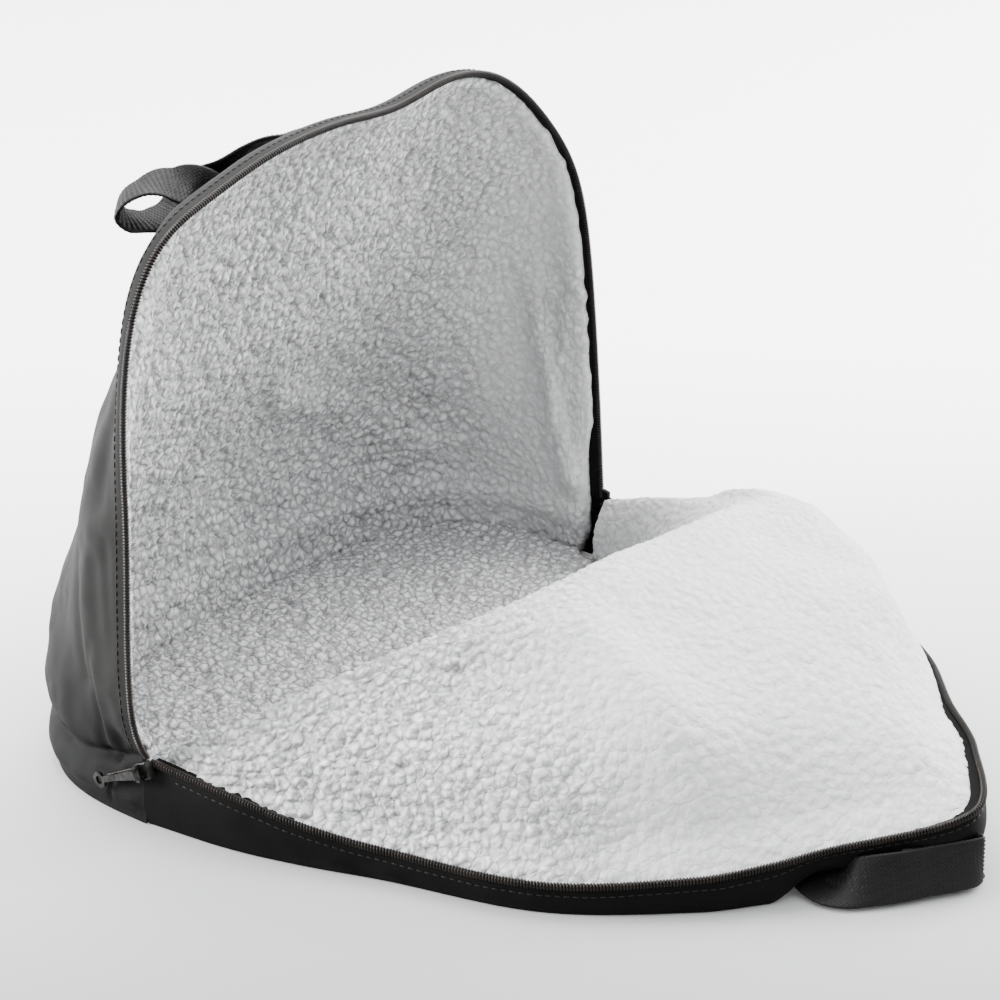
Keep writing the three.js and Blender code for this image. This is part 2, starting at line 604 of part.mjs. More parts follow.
// The pull about its own hinge line, pointing along +X: an eye on the bar, a blade, a round end with a hole
function zipPull() {
  const eyeShape = new THREE.Shape().absarc(0, 0, eyeRadius, 0, 2 * Math.PI);
  eyeShape.holes.push(new THREE.Path().absarc(0, 0, eyeBore, 0, 2 * Math.PI, true));
  const eye = new THREE.ExtrudeGeometry(eyeShape, { depth: pullWidth, bevelEnabled: false, curveSegments: 8 });
  eye.rotateX(Math.PI / 2);
  eye.translate(0, pullWidth / 2, 0);
  const bladeShape = new THREE.Shape();
  const neck = pullWidth * 0.32;
  const ringCentre = pullLength - pullRing;
  bladeShape.moveTo(eyeRadius * 0.75, -pullWidth / 2);
  bladeShape.lineTo(eyeRadius * 2.4, -pullWidth / 2);
  bladeShape.lineTo(ringCentre * 0.55, -neck);
  bladeShape.lineTo(ringCentre - pullRing * 0.8, -neck);
  bladeShape.absarc(ringCentre, 0, pullRing, -Math.PI * 0.72, Math.PI * 0.72);
  bladeShape.lineTo(ringCentre - pullRing * 0.8, neck);
  bladeShape.lineTo(ringCentre * 0.55, neck);
  bladeShape.lineTo(eyeRadius * 2.4, pullWidth / 2);
  bladeShape.lineTo(eyeRadius * 0.75, pullWidth / 2);
  bladeShape.holes.push(new THREE.Path().absarc(ringCentre, 0, pullHole, 0, 2 * Math.PI, true));
  const bladeSize = { depth: pullThick, bevelEnabled: false, curveSegments: 10 };
  const blade = new THREE.ExtrudeGeometry(bladeShape, bladeSize);
  blade.translate(0, 0, -pullThick / 2);
  return joinSolids([eye, blade]);
}

function zipTail() {
  const outline = new THREE.Shape();
  outline.moveTo(sliderLength / 2 + seamGap, -tailWidth / 2);
  outline.lineTo(tailLength, -tailWidth / 2);
  outline.absarc(tailLength, 0, tailWidth / 2, -Math.PI / 2, Math.PI / 2);
  outline.lineTo(sliderLength / 2 + seamGap, tailWidth / 2);
  return new THREE.ExtrudeGeometry(outline, { depth: tailThick, bevelEnabled: false, curveSegments: 6 });
}

const finishes = {
  nylon: { color: 0x2b2b2c, roughness: 0.55, metalness: 0 },
  fleece: { color: 0xe9e9ec, roughness: 0.95, metalness: 0 },
  tape: { color: 0x1b1b1c, roughness: 0.7, metalness: 0 },
  webbing: { color: 0x2e2e2f, roughness: 0.8, metalness: 0 },
  metal: { color: 0x2a2928, roughness: 0.35, metalness: 0.9 },
};

function piece(name, geometry, finish) {
  const mesh = new THREE.Mesh(geometry, new THREE.MeshStandardMaterial(finishes[finish]));
  mesh.name = name;
  return mesh;
}

const bag = new THREE.Group();
bag.add(
  piece('base_panel', basePanel(), 'nylon'),
  piece('base_lining', baseLining(), 'fleece'),
  piece('body_shell', bodyShell(), 'nylon'),
  piece('body_lining', bodyLining(), 'fleece'),
  piece('body_zip_tape', bodyZipTape(), 'tape'),
  piece('body_handle', bodyHandle(), 'webbing'),
  piece('flap_panel', flapPanel(), 'nylon'),
  piece('flap_lining', flapLining(), 'fleece'),
  piece('flap_gusset', flapGusset(), 'nylon'),
  piece('flap_zip_tape', flapZipTape(), 'tape'),
  piece('flap_handle', flapHandle(), 'webbing'),
);

// The zip's end lies on the left side wall, its closed end sloping down to the back
const zipEnd = new THREE.Group();
zipEnd.position.set(sliderAt.x, sliderAt.y, sliderAt.z);
const towardsTail = new THREE.Vector3(0, Math.cos(tailSlope), -Math.sin(tailSlope));
const awayFromCloth = new THREE.Vector3(-1, 0, 0);
const hingeLine = new THREE.Vector3().crossVectors(awayFromCloth, towardsTail);
zipEnd.quaternion.setFromRotationMatrix(new THREE.Matrix4().makeBasis(towardsTail, hingeLine, awayFromCloth));
const pullMesh = piece('zip_pull', zipPull(), 'metal');
pullMesh.position.set(0, 0, sliderThick + barLift);
pullMesh.rotation.set(0, pullRest, 0);
zipEnd.add(piece('zip_slider', zipSlider(), 'metal'), piece('zip_tail', zipTail(), 'tape'), pullMesh);
bag.add(zipEnd);

export default bag;
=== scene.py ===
import math

import bpy
import numpy as np
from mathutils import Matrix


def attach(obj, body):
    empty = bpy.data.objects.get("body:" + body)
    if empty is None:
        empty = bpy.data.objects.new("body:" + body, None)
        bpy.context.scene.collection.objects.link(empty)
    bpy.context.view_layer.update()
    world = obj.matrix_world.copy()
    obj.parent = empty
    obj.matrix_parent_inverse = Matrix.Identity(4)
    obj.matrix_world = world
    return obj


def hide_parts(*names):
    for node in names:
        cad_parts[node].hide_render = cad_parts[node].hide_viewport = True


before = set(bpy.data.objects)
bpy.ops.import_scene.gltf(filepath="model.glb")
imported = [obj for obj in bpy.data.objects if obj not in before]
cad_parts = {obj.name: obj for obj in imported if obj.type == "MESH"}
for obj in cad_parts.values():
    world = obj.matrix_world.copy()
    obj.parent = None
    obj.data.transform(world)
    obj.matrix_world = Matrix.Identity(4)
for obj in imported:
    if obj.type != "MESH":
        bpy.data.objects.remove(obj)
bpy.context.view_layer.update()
mm = 0.001  # the tables are in millimetres, the meshes in metres
print("frame loaded:", len(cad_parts), "nodes")


# small helpers for whole arrays

def unit(vectors):
    # each vector divided by its own length
    return vectors / np.maximum(np.linalg.norm(vectors, axis=-1, keepdims=True), 1e-9)


def smoothStep(value, low, high):
    # 0 up to low, 1 from high on, 3t^2 - 2t^3 between
    share = np.clip((value - low) / (high - low), 0, 1)
    return share * share * (3 - 2 * share)


def roundedOff(share):
    # height of a quarter circle: 0 at share 0, 1 at share 1
    return np.sqrt(np.clip(1 - (1 - np.clip(share, 0, 1)) ** 2, 0, 1))


def bell(distance, spread):
    # e to the minus square of distance over spread
    return np.exp(-(distance / spread) ** 2)


def cubic(t, start, startSlope, end, endSlope):
    # curve from start to end with a slope at each, t from 0 to 1
    s = 1 - t
    return s * s * ((1 + 2 * t) * start + t * startSlope) + t * t * ((3 - 2 * t) * end - s * endSlope)


def smoothColumn(table, key, name, at):
    # cubic through the rows of one column, its slope at a row taken from the rows on both sides
    keys = np.asarray(table[key], float)
    values = np.asarray(table[name], float)
    slopes = np.gradient(values) / np.gradient(keys)
    row = np.clip(np.searchsorted(keys, at, side="right") - 1, 0, len(keys) - 2)
    span = keys[row + 1] - keys[row]
    t = np.clip((at - keys[row]) / span, 0, 1)
    return cubic(t, values[row], span * slopes[row], values[row + 1], span * slopes[row + 1])


def creaseDistance(points, start, end):
    # distance from each point to the straight line between two ends
    start = np.asarray(start, float)
    line = np.asarray(end, float) - start
    share = np.clip((points - start) @ line / (line @ line), 0, 1)
    return np.linalg.norm(points - start - share[..., None] * line, axis=-1)


seeds = {  # one for each use of the noise
    "pucker": 3, "nub": 5, "crumple": 8, "bend": (11, 12, 13), "fuzz": 21, "wave": 30, "strip": 41,
    "brush": 44, "ragged": 61,
}


hashLook = {"way": (127.1, 311.7, 74.7), "seedTurn": 53.3, "scale": 43758.5453}


def hashed(cells, seed):
    # fraction of a large sine of the cell's whole numbers, the same on every run
    turns = cells @ np.array(hashLook["way"]) + seed * hashLook["seedTurn"]
    return np.modf(np.abs(np.sin(turns) * hashLook["scale"]))[0]


def softNoise(points, size, seed):
    # hashed values at the corners of a lattice, blended smoothly between them, from -1 to 1
    scaled = points / size
    cell = np.floor(scaled)
    part = scaled - cell
    part = part * part * (3 - 2 * part)
    total = np.zeros(points.shape[:-1])
    for corner in np.ndindex(2, 2, 2):
        weight = np.prod(np.where(np.array(corner) == 1, part, 1 - part), axis=-1)
        total += weight * hashed(cell + corner, seed)
    return 2 * total - 1


def pileCells(points, size, seed):
    # distance to the nearest and the second nearest of points scattered one to a lattice cell
    scaled = points / size
    cell = np.floor(scaled)
    nearest = np.full(points.shape[:-1], 9.0)  # farther than any of them
    second = nearest.copy()
    for offset in np.ndindex(3, 3, 3):
        there = cell + np.array(offset) - 1
        jitter = np.stack([hashed(there, seed + axis) for axis in (1, 2, 3)], -1)
        distance = np.linalg.norm(there + jitter - scaled, axis=-1)
        second = np.minimum(second, np.maximum(nearest, distance))
        nearest = np.minimum(nearest, distance)
    return nearest, second


def travelled(points):
    # length of the path up to each of its points
    return np.concatenate([[0], np.cumsum(np.linalg.norm(np.diff(points, axis=0), axis=-1))])


fineCount = 2000  # points on which a curve is measured


def curveLength(curve, low, high):
    # length of a curve between two values of its parameter
    return travelled(curve(np.linspace(low, high, fineCount)))[-1]


def evenRows(curve, low, high, count):
    # parameter values that cut a curve into equal lengths
    fine = np.linspace(low, high, fineCount)
    lengths = travelled(curve(fine))
    return np.interp(np.linspace(0, lengths[-1], count), lengths, fine)


def gridNormals(points):
    # cross product of the steps along the rows and along the columns
    return unit(np.cross(np.gradient(points, axis=1), np.gradient(points, axis=0)))


def gridLengths(points):
    # metres travelled along the middle row and the middle column, as a UV map that keeps the weave's size
    across = travelled(points[points.shape[0] // 2])
    along = travelled(points[:, points.shape[1] // 2])
    return np.stack(np.meshgrid(across, along), -1) * mm


# meshes from arrays

allSmooth = 180  # angle of a piece with no sharp edges


def gridQuads(index):
    # four neighbours of a grid of vertex numbers
    corners = [index[:-1, :-1], index[:-1, 1:], index[1:, 1:], index[1:, :-1]]
    return np.stack([corner.ravel() for corner in corners], -1)


def slabParts(top, bottom):
    # closed sheet between a fine face and a coarse one that have the same columns
    upper = np.arange(top.shape[0] * top.shape[1]).reshape(top.shape[:2])
    lower = np.arange(bottom.shape[0] * bottom.shape[1]).reshape(bottom.shape[:2]) + upper.size
    front = np.stack([upper[0, 1:], upper[0, :-1], lower[0, :-1], lower[0, 1:]], -1)
    back = np.stack([upper[-1, :-1], upper[-1, 1:], lower[-1, 1:], lower[-1, :-1]], -1)
    leftEnd = np.concatenate([upper[:, 0], lower[::-1, 0]])[None]
    rightEnd = np.concatenate([upper[::-1, -1], lower[:, -1]])[None]
    faces = [gridQuads(upper), gridQuads(lower)[:, ::-1], front, back, leftEnd, rightEnd]
    points = np.concatenate([top.reshape(-1, 3), bottom.reshape(-1, 3)])
    uv = np.concatenate([gridLengths(top).reshape(-1, 2), gridLengths(bottom).reshape(-1, 2)])
    return points, faces, uv


def tubeParts(rings):
    # rings of points along a path, joined into a closed tube with a face at each end
    stations, sides = rings.shape[:2]
    index = np.arange(stations * sides).reshape(stations, sides)
    wrapped = np.concatenate([index, index[:, :1]], 1)
    faces = [gridQuads(wrapped), index[:1, ::-1], index[-1:]]
    along = travelled(rings.mean(1)) * mm
    across = travelled(rings[0]) * mm
    uv = np.stack(np.meshgrid(across, along), -1).reshape(-1, 2)
    return rings.reshape(-1, 3), faces, uv


def joinParts(parts):
    # several closed meshes put into one list of points and faces
    points, faces, uvs = [], [], []
    first = 0
    for partPoints, partFaces, partUv in parts:
        faces += [face + first for face in partFaces]
        points.append(partPoints)
        uvs.append(partUv)
        first += len(partPoints)
    return np.concatenate(points), faces, np.concatenate(uvs)


def outward(points, faces):
    # faces turned round if the sum of the signed volumes under them is negative
    volume = 0
    for face in faces:
        fan = [points[face[:, 0]], points[face[:, 1:-1]], points[face[:, 2:]]]
        volume += np.einsum("ij,ikj->", fan[0], np.cross(fan[1], fan[2]))
    return [face[:, ::-1] for face in faces] if volume < 0 else faces


def makePiece(name, parts, material, nodes=(), fields=None, sharp=60):
    # the arrays become one mesh that rides on the bag and stands for the CAD nodes named,
    # with any fields, one value for each point, kept as attributes
    points, faces, uv = parts
    faces = outward(points, faces)
    corners = np.concatenate([face.ravel() for face in faces])
    sizes = np.concatenate([np.full(len(face), face.shape[1]) for face in faces])
    mesh = bpy.data.meshes.new(name)
    mesh.vertices.add(len(points))
    mesh.vertices.foreach_set("co", (points * mm).astype(np.float32).ravel())
    mesh.loops.add(len(corners))
    mesh.loops.foreach_set("vertex_index", corners.astype(np.int32))
    mesh.polygons.add(len(sizes))
    mesh.polygons.foreach_set("loop_start", (np.cumsum(sizes) - sizes).astype(np.int32))
    mesh.update(calc_edges=True)
    layer = mesh.uv_layers.new(name="cloth")
    layer.uv.foreach_set("vector", uv[corners].astype(np.float32).ravel())
    for label, values in (fields or {}).items():
        field = mesh.attributes.new(label, "FLOAT", "POINT")
        field.data.foreach_set("value", values.astype(np.float32))
    mesh.shade_smooth()
    mesh.set_sharp_from_angle(angle=math.radians(sharp))
    mesh.validate()
    mesh.materials.append(material)
    piece = bpy.data.objects.new(name, mesh)
    bpy.context.scene.collection.objects.link(piece)
    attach(piece, "bag")
    if nodes:
        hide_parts(*nodes)
    print("made", name, len(points), "points")
    return piece


# camera at the photograph's angle

cameraLook = {
    "target": (-0.09396, -0.150, 0.18924), "azimuth": 52.0, "elevation": 26.0, "distance": 1.8,
    "lens": 136.03, "sensor": 36.0,
}


def makeCamera(look):
    # the camera stands at a distance from its target, turned left of the front and raised
    turn = math.radians(look["azimuth"])
    rise = math.radians(look["elevation"])
    level = math.cos(rise)
    away = np.array([-math.sin(turn) * level, -math.cos(turn) * level, math.sin(rise)])
    camera = bpy.data.objects.new("camera", bpy.data.cameras.new("camera"))
    camera.data.lens = look["lens"]
    camera.data.sensor_width = look["sensor"]
    camera.location = np.array(look["target"]) + away * look["distance"]
    camera.rotation_euler = (math.pi / 2 - rise, 0, -turn)
    bpy.context.scene.collection.objects.link(camera)
    bpy.context.scene.camera = camera


makeCamera(cameraLook)


# materials

def newGroup(name, inputs, outputs):
    # node group with named sockets
    group = bpy.data.node_groups.new(name, "ShaderNodeTree")
    for label, kind, value in inputs:
        socket = group.interface.new_socket(label, in_out="INPUT", socket_type=kind)
        socket.default_value = value
    for label, kind in outputs:
        group.interface.new_socket(label, in_out="OUTPUT", socket_type=kind)
    start = group.nodes.new("NodeGroupInput")
    end = group.nodes.new("NodeGroupOutput")
    return group, start, end


def feed(tree, node, links):
    # values set in a node's sockets, or other sockets linked to them
    for target, source in links:
        if isinstance(source, bpy.types.NodeSocket):
            tree.links.new(source, node.inputs[target])
        else:
            node.inputs[target].default_value = source


def addNode(tree, kind, links=(), **values):
    # one node with its settings and what goes into its sockets
    node = tree.nodes.new(kind)
    for label, value in values.items():
        setattr(node, label, value)
    feed(tree, node, links)
    return node


def mathNode(tree, operation, first, second=0.0):
    # one sum, product or other step of two values
    return addNode(tree, "ShaderNodeMath", [(0, first), (1, second)], operation=operation).outputs[0]


def weaveGroup():
    # product of two sines along the UV directions, the threads of a plain weave
    inputs = [("Pitch", "NodeSocketFloat", 0.0009)]
    group, start, end = newGroup("clothWeave", inputs, [("Height", "NodeSocketFloat")])
    place = addNode(group, "ShaderNodeUVMap", uv_map="cloth")
    split = addNode(group, "ShaderNodeSeparateXYZ", [(0, place.outputs[0])])
    pace = mathNode(group, "DIVIDE", 2 * math.pi, start.outputs["Pitch"])
    warp = mathNode(group, "SINE", mathNode(group, "MULTIPLY", split.outputs[0], pace))
    weft = mathNode(group, "SINE", mathNode(group, "MULTIPLY", split.outputs[1], pace))
    height = mathNode(group, "MULTIPLY_ADD", mathNode(group, "MULTIPLY", warp, weft), 0.5)
    height.node.inputs[2].default_value = 0.5
    group.links.new(height, end.inputs["Height"])
    return group


def grainGroup():
    # two sizes of noise in object space: a broad one for patches, a fine one for fibres
    inputs = [("Patch", "NodeSocketFloat", 12.0), ("Fibre", "NodeSocketFloat", 900.0)]
    outputs = [("Patches", "NodeSocketFloat"), ("Fibres", "NodeSocketFloat")]
    group, start, end = newGroup("softGrain", inputs, outputs)
    place = addNode(group, "ShaderNodeTexCoord").outputs["Object"]
    for source, target, detail in (("Patch", "Patches", 3.0), ("Fibre", "Fibres", 2.0)):
        links = [("Vector", place), ("Scale", start.outputs[source]), ("Detail", detail)]
        noise = addNode(group, "ShaderNodeTexNoise", links)
        group.links.new(noise.outputs[0], end.inputs[target])
    return group


def colourRamp(tree, factor, stops):
    # colour that goes from stop to stop with the factor
    ramp = addNode(tree, "ShaderNodeValToRGB", [(0, factor)])
    while len(ramp.color_ramp.elements) < len(stops):
        ramp.color_ramp.elements.new(0.5)
    for element, (place, colour) in zip(ramp.color_ramp.elements, stops):
        element.position = place
        element.color = (*colour, 1)
    return ramp.outputs[0]


def valueRange(tree, value, fromLow, fromHigh, toLow, toHigh):
    # value carried straight from one range to another
    links = [(0, value), (1, fromLow), (2, fromHigh), (3, toLow), (4, toHigh)]
    return addNode(tree, "ShaderNodeMapRange", links).outputs[0]


def mixValue(tree, share, first, second):
    # first value at share 0, second at share 1
    return addNode(tree, "ShaderNodeMix", [(0, share), (2, first), (3, second)]).outputs[0]


def bumpNode(tree, height, strength, distance, normal=None):
    # height turned into a normal
    links = [("Strength", strength), ("Distance", distance), ("Height", height)]
    if normal is not None:
        links.append(("Normal", normal))
    return addNode(tree, "ShaderNodeBump", links).outputs[0]


def newMaterial(name):
    # empty material with a Principled shader
    material = bpy.data.materials.new(name)
    material.use_nodes = True
    tree = material.node_tree
    tree.nodes.clear()
    shader = addNode(tree, "ShaderNodeBsdfPrincipled")
    addNode(tree, "ShaderNodeOutputMaterial", [(0, shader.outputs[0])])
    return material, tree, shader


weave = weaveGroup()
grain = grainGroup()


def placeGroup(tree, group, **values):
    # one use of a group with its own values
    node = addNode(tree, "ShaderNodeGroup", node_tree=group)
    for label, value in values.items():
        node.inputs[label].default_value = value
    return node


noiseLow, noiseHigh = 0.3, 0.7  # nearly all values of a noise texture lie between these
bumpHeights = {"thread": 0.0002, "fibre": 0.0004, "curl": 0.003, "hair": 0.0008, "scratch": 0.0001}  # metres
roughSpread = {"cloth": (-0.05, 0.06), "metal": (-0.06, 0.08)}  # round the roughness of each look
sheenRough = {"cloth": 0.45, "fleece": 0.6}


def clothMaterial(name, look):
    # dyed cloth: patches of two near colours, darker near the floor by painted shade where the look says so,
    # threads and fibres as bump, roughness that follows the patches
    material, tree, shader = newMaterial(name)
    threads = placeGroup(tree, weave, Pitch=look["pitch"])
    marks = placeGroup(tree, grain, Patch=look["patch"], Fibre=look["fibre"])
    patches = marks.outputs["Patches"]
    colour = colourRamp(tree, patches, [(noiseLow, look["dark"]), (noiseHigh, look["light"])])
    # painted shade: the colour is scaled down towards the floor, where the foot of the bag lies in shade
    if "footShade" in look:
        place = addNode(tree, "ShaderNodeTexCoord").outputs["Object"]
        height = addNode(tree, "ShaderNodeSeparateXYZ", [(0, place)]).outputs[2]
        shadeScale = valueRange(tree, height, look["footLow"], look["footHigh"], look["footShade"], 1.0)
        links = [(0, colour), ("Scale", shadeScale)]
        colour = addNode(tree, "ShaderNodeVectorMath", links, operation="SCALE").outputs[0]
    spread = [look["rough"] + step for step in roughSpread["cloth"]]
    roughness = valueRange(tree, patches, noiseLow, noiseHigh, *spread)
    normal = bumpNode(tree, threads.outputs["Height"], look["weaveDepth"], bumpHeights["thread"])
    normal = bumpNode(tree, marks.outputs["Fibres"], look["fibreDepth"], bumpHeights["fibre"], normal)
    feed(tree, shader, [
        ("Base Color", colour), ("Roughness", roughness), ("Normal", normal),
        ("Sheen Weight", look["sheen"]), ("Sheen Roughness", sheenRough["cloth"]),
        ("Specular IOR Level", look["gloss"]),
    ])
    return material


curlLook = {"bendScale": 210.0, "bend": 0.004, "border": 0.4}  # bend in metres, border in cells


def nubGroup():
    # scattered cells on object coordinates bent by noise: a crevice value from the distance to the border
    # between two cells, used as painted shade between the nubs, and a crown that falls with the square of
    # the distance to a cell's middle
    inputs = [("Nub", "NodeSocketFloat", 200.0)]
    outputs = [("CreviceShade", "NodeSocketFloat"), ("Crown", "NodeSocketFloat")]
    group, start, end = newGroup("curledPile", inputs, outputs)
    place = addNode(group, "ShaderNodeTexCoord").outputs["Object"]
    links = [("Vector", place), ("Scale", curlLook["bendScale"]), ("Detail", 1.0)]
    bend = addNode(group, "ShaderNodeTexNoise", links)
    links = [(0, bend.outputs["Color"]), (1, (curlLook["bend"],) * 3)]
    push = addNode(group, "ShaderNodeVectorMath", links, operation="MULTIPLY").outputs[0]
    bent = addNode(group, "ShaderNodeVectorMath", [(0, place), (1, push)], operation="ADD").outputs[0]
    links = [("Vector", bent), ("Scale", start.outputs["Nub"])]
    border = addNode(group, "ShaderNodeTexVoronoi", links, feature="DISTANCE_TO_EDGE").outputs["Distance"]
    middle = addNode(group, "ShaderNodeTexVoronoi", links, feature="F1").outputs["Distance"]
    links = [(0, border), (2, curlLook["border"])]
    rise = addNode(group, "ShaderNodeMapRange", links, interpolation_type="SMOOTHSTEP").outputs[0]
    group.links.new(rise, end.inputs["CreviceShade"])
    crown = mathNode(group, "SUBTRACT", 1.0, mathNode(group, "MULTIPLY", middle, middle))
    group.links.new(crown, end.inputs["Crown"])
    return group


nubs = nubGroup()


def fleeceMaterial(name, look):
    # pile: grey between the nubs and white on them by painted shade, nearly even where it is brushed, a
    # little lighter or darker by patches, with curls and hairs as bump
    material, tree, shader = newMaterial(name)
    nubShade = addNode(tree, "ShaderNodeAttribute", attribute_name="nubShade").outputs["Fac"]
    brushed = addNode(tree, "ShaderNodeAttribute", attribute_name="brushed").outputs["Fac"]
    marks = placeGroup(tree, grain, Patch=look["patch"], Fibre=look["fibre"])
    curls = placeGroup(tree, nubs, Nub=look["nub"])
    # painted shade: the crevices and the low parts of the pile make the colour darker
    between = mathNode(tree, "MULTIPLY_ADD", curls.outputs["CreviceShade"], look["creviceShadeMix"])
    tree.links.new(mathNode(tree, "MULTIPLY", nubShade, look["nubShadeMix"]), between.node.inputs[2])
    evened = mathNode(tree, "MULTIPLY", brushed, look["brushing"])
    between = mixValue(tree, evened, between, look["brushedTone"])
    patches = mathNode(tree, "MULTIPLY", marks.outputs["Patches"], look["patchMix"])
    colour = colourRamp(tree, mathNode(tree, "ADD", between, patches), look["stops"])
    standing = valueRange(tree, brushed, 0.0, 1.0, 1.0, look["brushedCurl"])
    lump = mathNode(tree, "MULTIPLY", curls.outputs["Crown"], standing)
    normal = bumpNode(tree, lump, look["nubDepth"], bumpHeights["curl"])
    normal = bumpNode(tree, marks.outputs["Fibres"], look["fibreDepth"], bumpHeights["hair"], normal)
    roughness = valueRange(tree, marks.outputs["Fibres"], noiseLow, noiseHigh, *look["rough"])
    feed(tree, shader, [
        ("Base Color", colour), ("Roughness", roughness), ("Normal", normal),
        ("Sheen Weight", look["sheen"]), ("Sheen Roughness", sheenRough["fleece"]),
        ("Specular IOR Level", look["gloss"]),
    ])
    return material


def metalMaterial(name, look):
    # dark coated metal, bare in worn patches
    material, tree, shader = newMaterial(name)
    marks = placeGroup(tree, grain, Patch=look["patch"], Fibre=look["fibre"])
    wornFrom, wornTo = look["worn"]
    colour = colourRamp(tree, marks.outputs["Patches"], [(wornFrom, look["dark"]), (wornTo, look["light"])])
    fibres = marks.outputs["Fibres"]
    spread = [look["rough"] + step for step in roughSpread["metal"]]
    roughness = valueRange(tree, fibres, noiseLow, noiseHigh, *spread)
    normal = bumpNode(tree, fibres, look["scratchDepth"], bumpHeights["scratch"])
    feed(tree, shader, [
        ("Base Color", colour), ("Roughness", roughness), ("Normal", normal), ("Metallic", look["metallic"]),
    ])
    return material


# footShade: share of the colour left at the floor, a painted shade near the foot
nylonLook = {
    "dark": (0.008, 0.0076, 0.0072), "light": (0.0125, 0.012, 0.0115),
    "rough": 0.64, "gloss": 0.1, "sheen": 0.0, "footShade": 0.12, "footLow": 0.02, "footHigh": 0.085,
    "pitch": 0.0008, "patch": 14.0, "fibre": 1400.0, "weaveDepth": 0.35, "fibreDepth": 0.12,
}
# a darker copy of the nylon for the strip: painted shade, as the strip faces away from the lamps
shadedStripLook = {
    **nylonLook, "dark": (0.0016, 0.0015, 0.0014), "light": (0.003, 0.0028, 0.0026),
    "rough": 0.58, "gloss": 0.055, "footShade": 1.0,
}
webbingLook = {
    "dark": (0.0026, 0.0024, 0.0022), "light": (0.0055, 0.0052, 0.0048),
    "rough": 0.44, "gloss": 0.17, "sheen": 0.02,
    "pitch": 0.0022, "patch": 60.0, "fibre": 1800.0, "weaveDepth": 0.5, "fibreDepth": 0.25,
}
tapeLook = {
    "dark": (0.002, 0.0019, 0.0018), "light": (0.0036, 0.0034, 0.0032),
    "rough": 0.7, "gloss": 0.06, "sheen": 0.0,
    "pitch": 0.0007, "patch": 40.0, "fibre": 1600.0, "weaveDepth": 0.4, "fibreDepth": 0.2,
}
coilLook = {
    "dark": (0.004, 0.003, 0.0024), "light": (0.012, 0.009, 0.0072),
    "rough": 0.32, "gloss": 0.16, "sheen": 0.0,
    "pitch": 0.0009, "patch": 90.0, "fibre": 2200.0, "weaveDepth": 0.05, "fibreDepth": 0.1,
}
fleeceLook = {
    "patch": 26.0, "fibre": 620.0, "patchMix": 0.14, "fibreDepth": 0.4, "nub": 200.0, "nubDepth": 0.8,
    "creviceShadeMix": 0.62, "nubShadeMix": 0.3, "brushing": 0.75, "brushedTone": 0.7, "brushedCurl": 0.3,
    "rough": (0.86, 0.98), "sheen": 0.1, "gloss": 0.08,
    "stops": [(0.1, (0.22, 0.22, 0.222)), (0.35, (0.37, 0.37, 0.372)), (0.75, (0.56, 0.56, 0.562)),
              (1.0, (0.68, 0.68, 0.68))],
}
metalLook = {
    "dark": (0.01, 0.0095, 0.009), "light": (0.05, 0.048, 0.046), "worn": (0.35, 0.68),
    "rough": 0.34, "metallic": 0.9, "patch": 260.0, "fibre": 2400.0, "scratchDepth": 0.15,
}
nylon = clothMaterial("blackNylon", nylonLook)
# the strip's darker nylon is painted shade
shadedStripNylon = clothMaterial("stripNylonPaintedShade", shadedStripLook)
webbing = clothMaterial("blackWebbing", webbingLook)
tape = clothMaterial("zipTape", tapeLook)
coil = clothMaterial("zipCoil", coilLook)
fleece = fleeceMaterial("sherpaFleece", fleeceLook)
metal = metalMaterial("zipMetal", metalLook)
print("materials ready")


# the bag's measures: those of its solids, with a few soft forms that the solids leave out

halfWidth = 190.0
zipFoot = 37.0
archLean = 0.063
nylonThick = 1.6
tapeReach = 6.6
liningFace = 2.2  # depth of the fleece's backing below the outer face of the cloth
liningBack = 10.2  # depth of the top of its pile
pileMiddle = liningBack - 1

archRows = {
    "swing": [0, 11, 25, 39, 55, 67, 75.5, 81, 85.5, 87.5, 88.7, 90],
    "reach": [123, 132, 144, 156, 172, 198, 236, 271, 303, 315.5, 319, 319],
    "power": [3.0, 3.0, 3.0, 3.0, 3.0, 3.2, 3.7, 4.2, 4.7, 4.9, 5.0, 5.0],
}
topSags = [(-112, 42, 6), (32, 34, 5), (168, 48, 21)]  # across, spread, drop
bodyFolds = [  # from, to, spread, depth
    ((-192, 14, 44), (-190, 28, 135), 7, 2.2),
    ((-180, 50, 212), (-176, 74, 150), 10, 8),
    ((-150, 105, 60), (-60, 112, 125), 12, 6),
    ((40, 118, 130), (150, 100, 60), 12, 6),
    ((192, 14, 50), (186, 50, 190), 9, 6),
]
footBow = {  # how far the left side bows out above the zip's pinned end, by height
    "height": [0, 37, 44, 52, 64, 78, 100, 125, 150, 175, 330],
    "out": [0, 0, 3.2, 6, 7.8, 7.8, 6.2, 3.6, 1.2, 0, 0],
}
drawnIn = {  # how far the slack wall behind the upper left zip edge hangs in, by height
    "height": [0, 150, 180, 200, 214, 228, 242, 256, 270, 285, 300, 330],
    "depth": [0, 0, 2, 4, 7, 10, 11, 10, 8, 7, 6, 5],
}
belt = {"height": 27, "spread": 8, "depth": 3}
domeFades = {  # from, to: where each form of the dome begins and where it is full
    "sagHeight": (180, 300), "bowSwing": (48, 80), "bowAcross": (120, 185),
    "foldZip": (1, 12), "foldFloor": (0, 14),
    "slackZip": (0, 4), "slackAcross": (118, 150), "slackBack": (60, 100),
}
topSwing = 90.0  # the zip edge
turnStep, swingStep = 0.01, 0.5  # steps from which normals are worked out
footTurn = 0.03  # nearer to a foot than this, the normal is level


